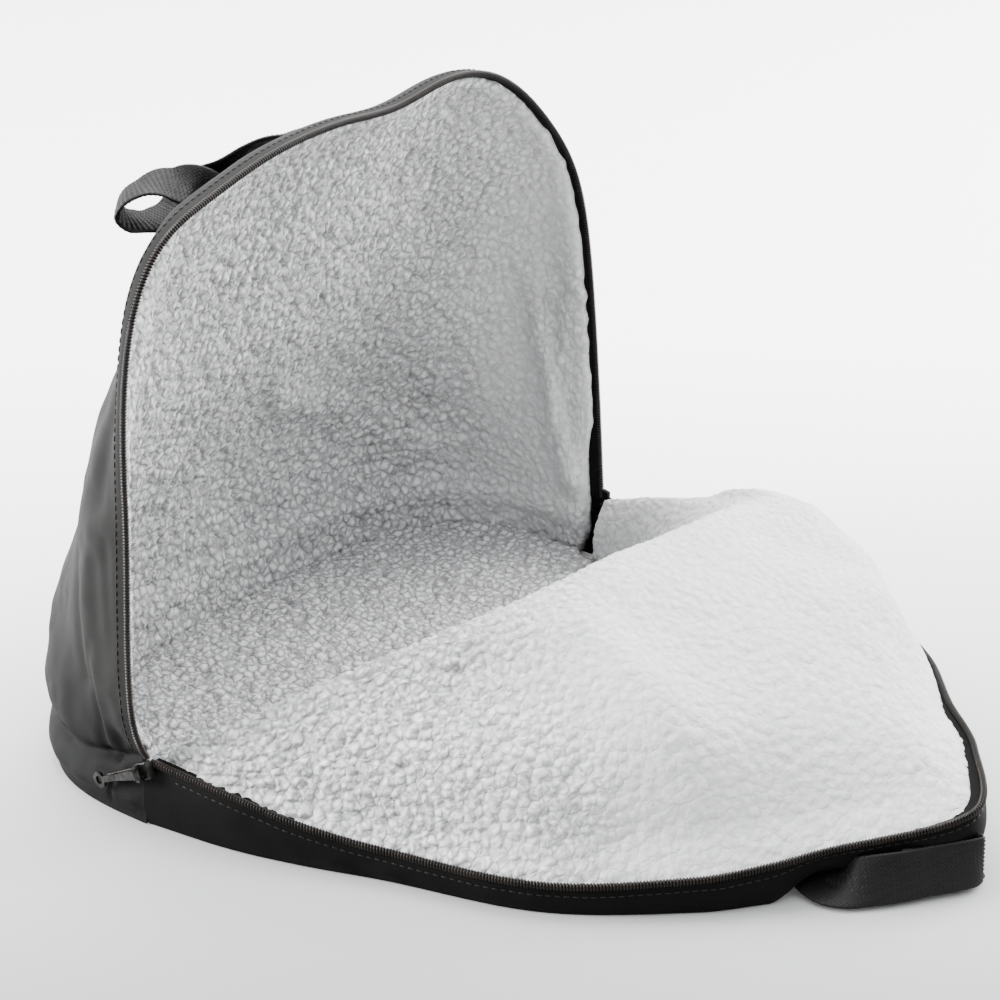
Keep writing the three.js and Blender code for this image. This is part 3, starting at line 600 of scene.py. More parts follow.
def domePoint(turn, swing):
    # superellipse arch of a reach and power for each swing, turned up about its foot line by the swing,
    # with the sags taken off its top, leaning back with height and bowed out above the left foot
    reach = smoothColumn(archRows, "swing", "reach", swing)
    power = smoothColumn(archRows, "swing", "power", swing)
    across, up = np.cos(turn), np.sin(turn)
    radius = (np.abs(across) ** power + np.abs(up) ** power) ** (-1 / power)
    x = -halfWidth * radius * across
    height = reach * radius * up
    z = height * np.sin(np.radians(swing))
    high = smoothStep(z, *domeFades["sagHeight"])
    for sagAcross, spread, drop in topSags:
        z = z - high * drop * bell(x - sagAcross, spread)
    y = height * np.cos(np.radians(swing)) + archLean * np.maximum(0, z - zipFoot)
    bow = smoothColumn(footBow, "height", "out", z) * smoothStep(swing, *domeFades["bowSwing"])
    return np.stack([x - bow * smoothStep(-x, *domeFades["bowAcross"]), y, z], -1)


def domeNormal(turn, swing):
    # cross product of small steps along the swing and along the arch, level at the two feet
    swing = np.minimum(swing, topSwing)
    above, below = np.minimum(swing + swingStep, topSwing), np.maximum(swing - swingStep, 0)
    alongArch = domePoint(turn + turnStep, swing) - domePoint(turn - turnStep, swing)
    alongSwing = domePoint(turn, above) - domePoint(turn, below)
    normal = unit(np.cross(alongSwing, alongArch))
    foot = np.stack([-np.sign(np.cos(turn)), 0 * turn, 0 * turn], -1) + 0 * normal
    inFoot = ((turn < footTurn) | (turn > math.pi - footTurn))[..., None]
    return np.where(inFoot, foot, normal)


def bodyPress(points, swing):
    # depth of the belt crease, the folds and the slack at each point, faded at the zip edge and the floor
    x, y, z = np.moveaxis(points, -1, 0)
    fromZip = topSwing - swing
    press = belt["depth"] * bell(z - belt["height"], belt["spread"])
    for start, end, spread, depth in bodyFolds:
        press = press + depth * bell(creaseDistance(points, start, end), spread)
    slack = smoothColumn(drawnIn, "height", "depth", z) * smoothStep(-x, *domeFades["slackAcross"])
    slack = slack * (1 - smoothStep(y, *domeFades["slackBack"]))
    slack = slack * smoothStep(fromZip, *domeFades["slackZip"])
    press = press * smoothStep(fromZip, *domeFades["foldZip"])
    return press * smoothStep(z, *domeFades["foldFloor"]) + slack


def bodyPoint(turn, swing, depth):
    # dome moved inwards along its normal by the folds and a depth
    points = domePoint(turn, swing)
    move = np.asarray(depth) + bodyPress(points, swing)
    return points - domeNormal(turn, swing) * np.broadcast_to(move, points.shape[:-1])[..., None]


flapRows = {
    "along": [0, .047, .092, .144, .246, .341, .385, .416, .5, .565, .613, .685, .756, .83, .9, .95, 1],
    "topX": [-178, -160, -138, -115, -68, -28, -13, -2, 25, 52, 78, 108, 134, 152, 166, 173, 178],
    "topY": [-10, -32, -52, -76, -114, -129, -132, -134, -138, -142, -144, -143, -135, -112, -75, -40, -10],
    "topZ": [42, 55, 67, 82, 102, 109, 110, 111, 111, 110, 109, 105, 96, 84, 68, 56, 42],
    "rimX": [-190, -184, -174, -160, -135, -88, -60, -41, 17, 57, 84, 132, 170, 186, 191, 192, 190],
    "rimY": [-.4, -48, -86, -126, -206, -267, -290, -305, -354, -330, -299, -256, -206, -150, -95, -48, -.4],
    "rimZ": [37, 31, 23, 17, 15, 18, 21, 25, 38, 48, 50, 42, 32, 25, 24, 30, 37],
    "hem": [.2, .2, .2, .2, .2, .2, .2, 15, 13, 28, 30, 14, .2, .2, .2, .2, .2],
    "full": [.2, .2, .3, .4, .5, .6, .5, .4, .15, .3, .6, .9, 1, .9, .5, .2, .2],
}
flapShares = {
    "wallPlace": 0.35, "wallHeight": 0.55,
    "shoulderPlace": 0.34, "shoulderHeight": 0.8, "shoulderFill": 0.17,
    "slopePlace": 0.67, "slopeHeight": 0.42, "slopePush": 0.1, "slopeFill": 0.3,
    "foldFrom": (0.4, 0.55), "foldTo": (0.8, 1), "turnUp": (0.1, 0.5),  # rises between which each comes in
}
flapGaps = {"tape": 0.3, "drop": 0.6, "floor": 0.4, "fold": 0.3}  # room past and under the tape, and below
flapFolds = [  # from, to in plan, spread, lift
    ((-46, -170), (-62, -262), 22, 5),
    ((96, -165), (118, -222), 20, -4),
    ((-100, -128), (-96, -196), 16, -4),
    ((150, -158), (168, -112), 20, 9),
]
foldHalf, foldReach, foldStart = 178.0, 115.0, 3.0
rimStep = 0.004  # step along the rim from which its direction is worked out


def rimPoint(along):
    # outer edge of the flap's cloth at the zip
    names = ("rimX", "rimY", "rimZ")
    return np.stack([smoothColumn(flapRows, "along", name, along) for name in names], -1)


def rimInward(along):
    # level direction square to the rim, towards the inside of the flap
    step = rimPoint(np.minimum(along + rimStep, 1)) - rimPoint(np.maximum(along - rimStep, 0))
    return unit(np.stack([-step[..., 1], step[..., 0], 0 * along], -1))


def foldLine(along):
    # half ellipse on the floor below the crest
    x = smoothColumn(flapRows, "along", "topX", along)
    share = np.clip(x / foldHalf, -1, 1)
    return np.stack([x, -foldStart - foldReach * np.sqrt(1 - share * share), flapGaps["fold"] + 0 * x], -1)


def foldInward(along):
    # level direction square to that half ellipse
    line = foldLine(along)
    depth = (line[..., 1] + foldStart) / foldReach ** 2
    return unit(np.stack([-line[..., 0] / foldHalf ** 2, -depth, 0 * along], -1))


def flapPoint(along, rise, lift):
    # smooth section through six stations from the fold line over the crest to the rim, one for each column,
    # with soft ridges and dips, moved towards the fleece side by a lift
    along, rise = np.broadcast_arrays(along, rise)
    shares = flapShares
    names = ("topX", "topY", "topZ")
    crest = np.stack([smoothColumn(flapRows, "along", name, along) for name in names], -1)
    crest[..., 2] -= liningBack
    full = smoothColumn(flapRows, "along", "full", along)[..., None]
    edge = rimPoint(along) + rimInward(along) * (tapeReach + flapGaps["tape"])
    edge[..., 2] = np.maximum(flapGaps["floor"], edge[..., 2] - liningBack - flapGaps["drop"])
    base = foldLine(along)
    wall = base + (crest - base) * shares["wallPlace"]
    wall[..., 2] = crest[..., 2] * shares["wallHeight"]

    def falling(place, height):
        # a share of the way from the crest to the edge, at a share of the height between them
        station = crest + (edge - crest) * place
        station[..., 2:] = edge[..., 2:] + (crest[..., 2:] - edge[..., 2:]) * height
        return station

    shoulder = falling(shares["shoulderPlace"], shares["shoulderHeight"] + shares["shoulderFill"] * full)
    slopePlace = shares["slopePlace"] + shares["slopePush"] * full
    slope = falling(slopePlace, shares["slopeHeight"] + shares["slopeFill"] * full)
    stations = np.stack([base, wall, crest, shoulder, slope, edge])
    slopes = np.gradient(stations, axis=0)
    spans = len(stations) - 1
    place = np.clip(rise, 0, 1) * spans
    row = np.clip(np.floor(place).astype(int), 0, spans - 1)
    t = (place - row)[..., None]
    pick = lambda table, at: np.take_along_axis(table, at[None, ..., None], 0)[0]
    points = cubic(t, pick(stations, row), pick(slopes, row), pick(stations, row + 1), pick(slopes, row + 1))
    topFade = smoothStep(rise, *shares["foldFrom"]) * (1 - smoothStep(rise, *shares["foldTo"]))
    for start, end, spread, height in flapFolds:
        points[..., 2] += height * topFade * bell(creaseDistance(points[..., :2], start, end), spread)
    turnUp = smoothStep(rise, *shares["turnUp"])[..., None]
    direction = unit(foldInward(along) * (1 - turnUp) + np.array([0.0, 0.0, 1.0]) * turnUp)
    return points + direction * np.broadcast_to(lift, along.shape)[..., None]


def middleLine(swing):
    # line from the floor to the zip edge over the middle of the back
    return domePoint(np.full_like(swing, math.pi / 2), swing)


# nylon of the standing half

shellLook = {
    "columns": 430, "rows": 165, "ends": 0.004, "innerStep": 4,
    "pucker": 0.9, "puckerSize": 17, "puckerWay": (1, 1, 0.35), "crumple": 0.45, "crumpleSize": 9,
    "zipFade": (0.6, 6), "floorFade": (0, 12),
    "creases": [  # from, to, spread, depth: sharp small folds in the side walls
        ((-191, 8, 70), (-190, 20, 150), 5, 1.6),
        ((-190, 31, 30), (-190, 30, 92), 4, 2.2),
        ((-190, 17, 38), (-190, 24, 88), 3.2, 1.2),
        ((-190, 23, 40), (-190, 27, 84), 4.5, -1.6),
        ((-150, 108, 26), (-190, 54, 24), 3.4, 3.6),
        ((-190, 54, 24), (-190, 24, 29), 3.2, 4.4),
        ((-190, 24, 29), (-191, 5, 37), 3.0, 3.6),
        ((-160, 100, 10), (-190, 50, 10), 7, -1.4),
        ((-190, 50, 10), (-190, 10, 10), 7, -2.2),
        ((-190, 24, 4), (-190, 23, 18), 1.6, 1.4),
        ((-188, 40, 70), (-184, 52, 130), 6, 2.5),
        ((-186, 30, 170), (-188, 22, 260), 7, 1.8),
        ((186, 30, 70), (188, 16, 150), 6, 2.4),
        ((-120, 112, 50), (-90, 105, 140), 9, 3.0),
        ((60, 116, 60), (20, 100, 150), 9, 3.0),
        ((-40, 95, 190), (60, 88, 205), 10, 2.6),
    ],
}


def shellRelief(points, swing):
    # small creases, broad puckers that run up the wall and a fine crumple, all faded at the edges
    upright = points * np.array(shellLook["puckerWay"])
    relief = shellLook["pucker"] * softNoise(upright, shellLook["puckerSize"], seeds["pucker"])
    relief = relief + shellLook["crumple"] * softNoise(points, shellLook["crumpleSize"], seeds["crumple"])
    for start, end, spread, depth in shellLook["creases"]:
        relief = relief + depth * bell(creaseDistance(points, start, end), spread)
    relief = relief * smoothStep(topSwing - swing, *shellLook["zipFade"])
    return relief * smoothStep(points[..., 2], *shellLook["floorFade"])


def makeShell():
    # outer face and a coarser inner one with the same relief, the thickness of the nylon apart
    turns = np.linspace(shellLook["ends"], math.pi - shellLook["ends"], shellLook["columns"])
    swings = evenRows(middleLine, 0, topSwing, shellLook["rows"])
    turn, swing = np.meshgrid(turns, swings)
    relief = shellRelief(domePoint(turn, swing), swing)
    outer = bodyPoint(turn, swing, relief)
    inner = bodyPoint(turn, swing, nylonThick + relief)[::shellLook["innerStep"]]
    return makePiece("body_nylon", slabParts(outer, inner), nylon, ["body_shell"])


bodyNylon = makeShell()


# fleece

pileLook = {
    "size": 5.8, "height": 2.8, "level": 0.6, "fuzz": 0.8, "fuzzSize": 1.9, "wave": 1.2, "waveSize": 38,
    "bend": 2.0, "bendSize": 14, "crownReach": 0.95, "crownShare": 0.6, "gapTo": 0.35, "backingShade": 0.3,
    "brushWay": (0.616, -0.788, 0), "brush": (10, 130), "patchy": 45, "patchSize": 52, "flatten": 0.62,
}


def pileHeight(points):
    # rounded nubs: high at the middle of each scattered cell, low where two cells meet, with fine fuzz,
    # flattened where the pile is brushed, in patches that grow towards the flap's tip, given with the share
    # from 0 between the nubs to 1 on them and with how far each point is brushed
    look = pileLook
    bend = np.stack([softNoise(points, look["bendSize"], seed) for seed in seeds["bend"]], -1) * look["bend"]
    nearest, second = pileCells(points + bend, look["size"], seeds["nub"])
    crown = np.sqrt(np.clip(1 - (nearest / look["crownReach"]) ** 2, 0, 1))
    gap = smoothStep(second - nearest, 0.0, look["gapTo"])
    share = np.clip(look["crownShare"] * crown + (1 - look["crownShare"]) * gap, 0, 1)
    fuzz = look["fuzz"] * softNoise(points, look["fuzzSize"], seeds["fuzz"])
    wave = look["wave"] * softNoise(points, look["waveSize"], seeds["wave"])
    patchy = look["patchy"] * softNoise(points, look["patchSize"], seeds["brush"])
    brushed = smoothStep(points @ np.array(look["brushWay"]) + patchy, *look["brush"])
    strength = 1 - look["flatten"] * brushed
    return strength * (look["height"] * (share - look["level"]) + fuzz) + wave, share, brushed


def pileFields(share, brushed, backing):
    # the two fields of the pile, its painted nub shade and its brushing, with plain values for the points of
    # the backing
    plain = np.zeros(backing.shape[0] * backing.shape[1])
    # the backing gets a fixed painted shade
    nubShade = np.concatenate([share.ravel(), plain + pileLook["backingShade"]])
    return {"nubShade": nubShade, "brushed": np.concatenate([brushed.ravel(), plain])}


footRoom = {"depth": 1.2, "height": (30, 100)}


def footSlack(height):
    # more room between the layers near the feet of the arch
    return footRoom["depth"] * (1 - smoothStep(height, *footRoom["height"]))


bodyFleeceLook = {
    "columns": 430, "rows": 177, "ends": 0.06, "ragged": 1.2, "raggedSize": 7, "round": 4.6, "roundOver": 9,
    "footGap": 3.5, "footHeight": (50, 100), "floorGap": 2.6, "backingStep": 4,
    "floorShade": 0.5, "shadeHeight": (5, 90),
}


def makeBodyFleece():
    # pile on the inside of the dome, from just above the floor to a ragged, rounded edge at the zip
    look = bodyFleeceLook
    turns = np.linspace(look["ends"], math.pi - look["ends"], look["columns"])
    turn, swing = np.meshgrid(turns, evenRows(middleLine, 0, topSwing, look["rows"]))
    edgeLine = domePoint(turn, np.full_like(turn, topSwing))
    edgeHeight = edgeLine[..., 2]
    lowest = np.degrees(np.arcsin(look["floorGap"] / domePoint(turn, np.zeros_like(turn))[..., 1]))
    edge = look["ragged"] * softNoise(edgeLine, look["raggedSize"], seeds["ragged"])
    edge = edge + look["footGap"] * (1 - smoothStep(edgeHeight, *look["footHeight"]))
    highest = topSwing - np.degrees(np.arctan(edge / edgeHeight))
    swing = lowest + (highest - lowest) * swing / topSwing
    slack = footSlack(edgeHeight) + np.maximum(shellRelief(domePoint(turn, swing), swing), 0)
    smooth = bodyPoint(turn, swing, pileMiddle + slack)
    height, share, brushed = pileHeight(smooth)
    fromEdge = np.radians(highest - swing) * edgeHeight
    rounding = look["round"] * (1 - roundedOff(fromEdge / look["roundOver"]))
    inside = bodyPoint(turn, swing, pileMiddle + slack + height - rounding)
    backing = bodyPoint(turn, swing, liningFace + slack)[::look["backingStep"]]
    # painted shade: the nub shade is scaled down near the floor, where the inside of the dome lies in shade
    shadeScale = look["floorShade"] + (1 - look["floorShade"]) * smoothStep(smooth[..., 2], *look["shadeHeight"])
    fields = pileFields(share * shadeScale, brushed, backing)  # greyer near the floor
    parts = slabParts(inside, backing)
    return makePiece("body_fleece", parts, fleece, ["body_lining"], fields, allSmooth)


bodyFleece = makeBodyFleece()

flapFleeceLook = {
    "columns": 420, "ends": 0.006, "wallRows": 48, "topRows": 146, "start": 0.03, "crest": 0.36,
    "edge": 1.4, "overhang": (0.93, 1.0), "backingReach": 0.4, "backingStep": 14,
    "round": 5.0, "roundOver": 12, "roundRise": (0.8, 0.9),
    "puff": 9.0, "puffFrom": (0.6, 0.67), "puffTo": (0.8, 0.88), "puffRise": (0.62, 0.88), "rollFrom": 0.92,
}


def makeFlapFleece():
    # pile on the folded half, rounded off along the rim, where its nubs hang over the coil, and puffed up
    # into a roll along the right side of the rim
    look = flapFleeceLook
    between = lambda along: 0.5 * (rimPoint(along) + foldLine(along))
    alongs = evenRows(between, look["ends"], 1 - look["ends"], look["columns"])
    low = np.linspace(look["start"], look["crest"], look["wallRows"])
    high = np.linspace(look["crest"], 1.0, look["topRows"] + 1)[1:]
    along, rise = np.meshgrid(alongs, np.concatenate([low, high]))
    smooth = flapPoint(along, rise, pileMiddle)
    height, share, brushed = pileHeight(smooth)
    normal = gridNormals(smooth)
    normal = normal * np.sign(np.sum(normal * (smooth - flapPoint(along, rise, 0)), -1, keepdims=True))
    inward = rimInward(along)
    rim = rimPoint(along) + inward * look["edge"]
    fromRim = np.linalg.norm((smooth - rim)[..., :2], axis=-1)
    outwards = -inward * (tapeReach - look["edge"]) * smoothStep(rise, *look["overhang"])[..., None]
    rounding = look["round"] * (1 - roundedOff(fromRim / look["roundOver"]))
    top = smooth + outwards + normal * height[..., None]
    top[..., 2] -= rounding * smoothStep(rise, *look["roundRise"])
    puffed = smoothStep(along, *look["puffFrom"]) * (1 - smoothStep(along, *look["puffTo"]))
    roll = roundedOff((1 - rise) / (1 - look["rollFrom"]))
    top[..., 2] += look["puff"] * puffed * roll * smoothStep(rise, *look["puffRise"])
    under = (flapPoint(along, rise, liningFace) + outwards * look["backingReach"])[::look["backingStep"]]
    fields = pileFields(share, brushed, under)
    parts = slabParts(top, under)
    return makePiece("flap_fleece", parts, fleece, ["flap_lining"], fields, allSmooth)


flapFleece = makeFlapFleece()

baseClothLook = {
    "low": 0, "thick": 2.0, "half": 180, "backInset": 2.2, "frontInset": 3.6, "columns": 64, "rows": 24,
}
baseFleeceLook = {
    "low": 2.3, "thick": 7.2, "half": 174, "backInset": 5.6, "frontInset": 9, "columns": 190, "rows": 130,
}
baseLook = {
    "drop": 4, "over": 8, "shadeScale": 0.4, "underStep": 8, "outline": 400,
    "leastBack": 1.2, "short": 0.999,  # never quite on the fold line, and short of the pointed ends
}


def baseOutline(x, backInset, frontInset):
    # front and back of the floor oval at a place across
    turn = np.linspace(0, math.pi, baseLook["outline"])
    back = bodyPoint(turn, np.zeros_like(turn), backInset)
    backY = np.interp(x, back[:, 0], np.maximum(back[:, 1], baseLook["leastBack"]))
    share = np.clip(x / (foldHalf - frontInset), -1, 1)
    return -foldStart - (foldReach - frontInset) * np.sqrt(1 - share * share), backY


def basePlate(low, thick, half, backInset, frontInset, columns, rows):
    # plate between the two outlines, its rows spread evenly from front to back
    x = half * np.sin(np.linspace(-math.pi / 2, math.pi / 2, columns)) * baseLook["short"]
    front, back = baseOutline(x, backInset, frontInset)
    share = np.linspace(0, 1, rows)[:, None]
    flat = np.stack([x + 0 * share, front + (back - front) * share, 0 * x + 0 * share + low], -1)
    top = flat + np.array([0, 0, thick])
    return top, flat[::baseLook["underStep"]]


def makeBase():
    # nylon plate on the floor and a fleece plate on it, its pile rounded off at the rim and darkened by
    # painted shade
    top, flat = basePlate(**baseClothLook)
    cloth = makePiece("base_nylon", slabParts(top, flat), nylon, ["base_panel"])
    top, flat = basePlate(**baseFleeceLook)
    height, share, brushed = pileHeight(top)
    edge = np.minimum(top[..., 1] - top[0, :, 1], top[-1, :, 1] - top[..., 1])
    top[..., 2] += height - baseLook["drop"] * (1 - smoothStep(edge, 0, baseLook["over"]))
    # painted shade: the base's fleece is kept darker, as the floor of the bag lies in shade
    fields = pileFields(baseLook["shadeScale"] * share, 0 * brushed, flat)
    parts = slabParts(top, flat)
    pad = makePiece("base_fleece", parts, fleece, ["base_lining"], fields, allSmooth)
    return cloth, pad


baseNylon, baseFleece = makeBase()

underLook = {"columns": 190, "rows": 70, "ends": 0.002, "underStep": 3}


def makeFlapNylon():
    # nylon under the folded fleece
    alongs = np.linspace(underLook["ends"], 1 - underLook["ends"], underLook["columns"])
    along, rise = np.meshgrid(alongs, np.linspace(0, 1, underLook["rows"]))
    upper = flapPoint(along, rise, nylonThick)
    under = flapPoint(along, rise, 0)[::underLook["underStep"]]
    return makePiece("flap_nylon", slabParts(upper, under), nylon, ["flap_panel"])


flapNylon = makeFlapNylon()

gussetLook = {
    "columns": 520, "rows": 16, "innerStep": 3, "bulge": 2.2, "bulgeHeight": (6, 22),
    "tapeRoom": 1.2, "lowestHem": 0.2, "pucker": 1.1, "puckerSize": 13, "puckerRise": 16,
}


def gussetGrid(along, share, depth):
    # strip from under the tape down to its hem: it bows out between them and puckers across
    rim = rimPoint(along)
    inward = rimInward(along)
    hem = np.maximum(smoothColumn(flapRows, "along", "hem", along), gussetLook["lowestHem"])
    topZ = rim[..., 2] - gussetLook["tapeRoom"]
    height = topZ - hem
    spot = np.stack([rim[..., 0], rim[..., 1], gussetLook["puckerRise"] * share], -1)
    pucker = gussetLook["pucker"] * softNoise(spot, gussetLook["puckerSize"], seeds["strip"])
    bulge = gussetLook["bulge"] * smoothStep(height, *gussetLook["bulgeHeight"])
    out = depth + share - (bulge + pucker) * np.sin(math.pi * share)
    points = rim + inward * out[..., None]
    points[..., 2] = topZ - height * share
    return points


def makeGusset():
    # outer and inner face of the strip
    alongs = np.linspace(0, 1, gussetLook["columns"])
    along, share = np.meshgrid(alongs, np.linspace(0, 1, gussetLook["rows"]))
    outer = gussetGrid(along, share, 0.0)
    inner = gussetGrid(along, share, nylonThick)[::gussetLook["innerStep"]]
    # painted shade: the strip wears the darker copy of the nylon
    return makePiece("flap_strip", slabParts(outer, inner), shadedStripNylon, ["flap_gusset"])


flapStrip = makeGusset()


# zip

zipLook = {
    "pitch": 1.6, "perTooth": 5, "ridge": 0.5, "ridgeRound": 0.7, "sides": 10, "sharp": 75,
    "tapeStations": 420,
}
bodyZipLook = {  # sections and places as inward, out past the edge
    "from": 0.12, "to": math.pi - 0.12, "footShare": 0.4, "edgeSwing": 1,
    "coilPlace": (0.3, 1.9), "coilHalf": (1.75, 2.0),
    "tape": [(2.4, -3.4), (2.0, 0.2), (1.2, 1.4), (2.3, 1.6), (3.0, 0.2), (3.4, -3.4)],
}
flapZipLook = {  # sections and places as inward, up
    "from": 0.004, "to": 0.996, "coilPlace": (0.2, 0.6), "coilHalf": (1.9, 2.3),
    "tape": [(tapeReach, -1.2), (0.4, -1.2), (-0.6, -0.2), (0.4, 0.6), (2.1, 0.2), (tapeReach, 0)],
}


def coilRings(centres, across, up, halfAcross, halfUp):
    # ellipse carried along the edge, swelling once for each tooth
    wave = np.abs(np.sin(math.pi * travelled(centres) / zipLook["pitch"])) ** zipLook["ridgeRound"]
    swell = 1 - zipLook["ridge"] + zipLook["ridge"] * wave
    angle = np.linspace(0, 2 * math.pi, zipLook["sides"], endpoint=False)
    ring = np.cos(angle)[None, :, None] * across[:, None] * halfAcross
    ring = ring + np.sin(angle)[None, :, None] * up[:, None] * halfUp
    return centres[:, None] + ring * swell[:, None, None]


def stripRings(edge, across, up, section):
    # flat section of (across, up) pairs carried along the edge
    section = np.asarray(section, float)
    return edge[:, None] + across[:, None] * section[None, :, :1] + up[:, None] * section[None, :, 1:]


def coilStations(curve, low, high):
    # places along an edge, a few for each tooth
    length = curveLength(curve, low, high)
    return evenRows(curve, low, high, int(length / zipLook["pitch"] * zipLook["perTooth"]))


def archEdge(turn):
    # zip edge of the standing half
    return domePoint(turn, np.full_like(turn, topSwing))


def bodyZipEdge(turn):
    # that edge with a little more room at the feet, the way into the bag and the way out past the edge
    edge = archEdge(turn)
    inward = -domeNormal(turn, np.full_like(turn, topSwing))
    past = unit(edge - domePoint(turn, np.full_like(turn, topSwing - bodyZipLook["edgeSwing"])))
    return edge + inward * bodyZipLook["footShare"] * footSlack(edge[:, 2])[:, None], inward, past


def flapZipEdge(along):
    # rim of the flap, the way into the flap and the way up
    return rimPoint(along), rimInward(along), np.tile([0.0, 0.0, 1.0], (len(along), 1))


def makeZip(side, curve, edgeFrame, look):
    # tape of a flat section along an edge, and the coil on its outer side
    edge, inward, up = edgeFrame(evenRows(curve, look["from"], look["to"], zipLook["tapeStations"]))
    tapeParts = tubeParts(stripRings(edge, inward, up, look["tape"]))
    edge, inward, up = edgeFrame(coilStations(curve, look["from"], look["to"]))
    inPlace, upPlace = look["coilPlace"]
    rings = coilRings(edge + inward * inPlace + up * upPlace, inward, up, *look["coilHalf"])
    strip = makePiece(side + "_zip_tape_cloth", tapeParts, tape, [side + "_zip_tape"])
    teeth = makePiece(side + "_zip_coil", tubeParts(rings), coil, sharp=zipLook["sharp"])
    return strip, teeth


bodyTape, bodyCoil = makeZip("body", archEdge, bodyZipEdge, bodyZipLook)
flapTape, flapCoil = makeZip("flap", rimPoint, flapZipEdge, flapZipLook)


# webbing handles

strapLook = {
    "width": 25.0, "thick": 2.0, "edgeThick": 0.35, "edgePower": 14, "step": 0.7,
    "ribs": 11, "rib": 0.55, "weft": 2.0,
}
handleSeats = {  # where the ends are sewn on
    "swing": 84.5, "swingStep": 2, "out": 1.9, "near": (1.31, 1.25, 1.19), "far": (1.54, 1.6, 1.66),
    "rim": (0.499, 0.478, 0.457), "rimOut": 1.3, "rimDrop": 26.0, "floorGap": 0.6,
}
bodyHandleRows = [  # middle of the strap, direction of its width
    ((-86, 47, 297.8), (.4, .3, .87)), ((-95, 48.5, 301.5), (.62, .62, .45)),
    ((-103.5, 53.2, 304.6), (.75, .62, .2)), ((-112, 58.5, 304), (.79, .61, 0)),
    ((-119, 64, 299.6), (.79, .61, 0)), ((-121.6, 66.2, 293.6), (.79, .61, 0)),
    ((-118.3, 64.2, 288.2), (.79, .61, 0)), ((-110.5, 60.5, 285.4), (.79, .61, 0)),
    ((-100.5, 58.5, 284.4), (.79, .61, 0)), ((-90, 57.5, 284.8), (.6, .7, .2)),
    ((-77, 55.5, 290), (.3, .35, .89)), ((-63, 52.5, 296.5), (0, -.35, .94)),
    ((-50, 50, 301.6), (-.2, -.5, .84)), ((-40, 48.5, 304.8), (-.5, -.6, .62)),
    ((-30, 47, 306), (-.6, -.65, .47)), ((-18, 45.5, 303.4), (-.3, -.6, .74)),
]
flapHandleRows = [
    ((-24, -268, 14), (.9, -.35, .25)), ((-31, -290, 9.5), (.9, -.25, .35)),
    ((-36, -308, 6.8), (.9, .1, .37)), ((-31.5, -324, 12.3), (.4, .3, .86)),
    ((-18.8, -337.4, 14), (.22, .24, .94)), ((-4.6, -347.4, 14.5), (.18, .22, .95)),
    ((6, -355, 14.6), (.16, .2, .96)), ((13.6, -359.6, 14.8), (.12, .14, .98)),
    ((18.4, -360.2, 14.8), (.04, .04, 1)), ((19.4, -357.2, 14.6), (0, 0, 1)),
]


def smoothPath(points, place):
    # centripetal cubic through the points: knots spaced by the root of the distance between them
    points = np.asarray(points, float)
    ghost = np.concatenate([[2 * points[0] - points[1]], points, [2 * points[-1] - points[-2]]])
    row = np.clip(np.floor(place * (len(points) - 1)).astype(int), 0, len(points) - 2)
    t = (place * (len(points) - 1) - row)[:, None]
    before, start, end, after = (ghost[row + i] for i in range(4))
    pairs = ((before, start), (start, end), (end, after))
    early, span, late = (np.linalg.norm(b - a, axis=-1, keepdims=True) ** 0.5 for a, b in pairs)
    first = (start - before) / early - (end - before) / (early + span) + (end - start) / span
    last = (end - start) / span - (after - start) / (span + late) + (after - end) / late
    return cubic(t, start, first * span, end, last * span)


def strapParts(rows):
    # flat section with ribs along it and weft across it, carried along a smooth path
    centres = np.array([row[0] for row in rows], float)
    sides = np.array([row[1] for row in rows], float)
    curve = lambda place: smoothPath(centres, place)
    length = curveLength(curve, 0, 1)
    place = evenRows(curve, 0, 1, int(length / strapLook["step"]))
    middle = curve(place)
    along = unit(np.gradient(middle, axis=0))
    keys = {"at": np.linspace(0, 1, len(rows)), "x": sides[:, 0], "y": sides[:, 1], "z": sides[:, 2]}
    width = np.stack([smoothColumn(keys, "at", name, place) for name in ("x", "y", "z")], -1)
    width = unit(width - along * np.sum(width * along, -1, keepdims=True))
    face = np.cross(along, width)
    across = np.linspace(-1, 1, 4 * strapLook["ribs"] + 1)
    rounded = np.sqrt(np.clip(1 - np.abs(across) ** strapLook["edgePower"], 0, 1))[None]
    travel = np.linspace(0, length, len(place))[:, None]
    weft = np.cos(travel * 2 * math.pi / strapLook["weft"])
    rib = strapLook["rib"] * np.cos(across * strapLook["ribs"] * math.pi)[None] * weft
    edgeThick = strapLook["edgeThick"]
    half = strapLook["thick"] / 2 * (edgeThick + (1 - edgeThick) * rounded) + rib * rounded
    spread = (across * strapLook["width"] / 2)[None, :, None]
    upper = middle[:, None] + width[:, None] * spread + face[:, None] * half[..., None]
    lower = middle[:, None] + width[:, None] * spread - face[:, None] * half[..., None]
    print("strap", round(length), "mm")
    return tubeParts(np.concatenate([upper, lower[:, ::-1]], 1))


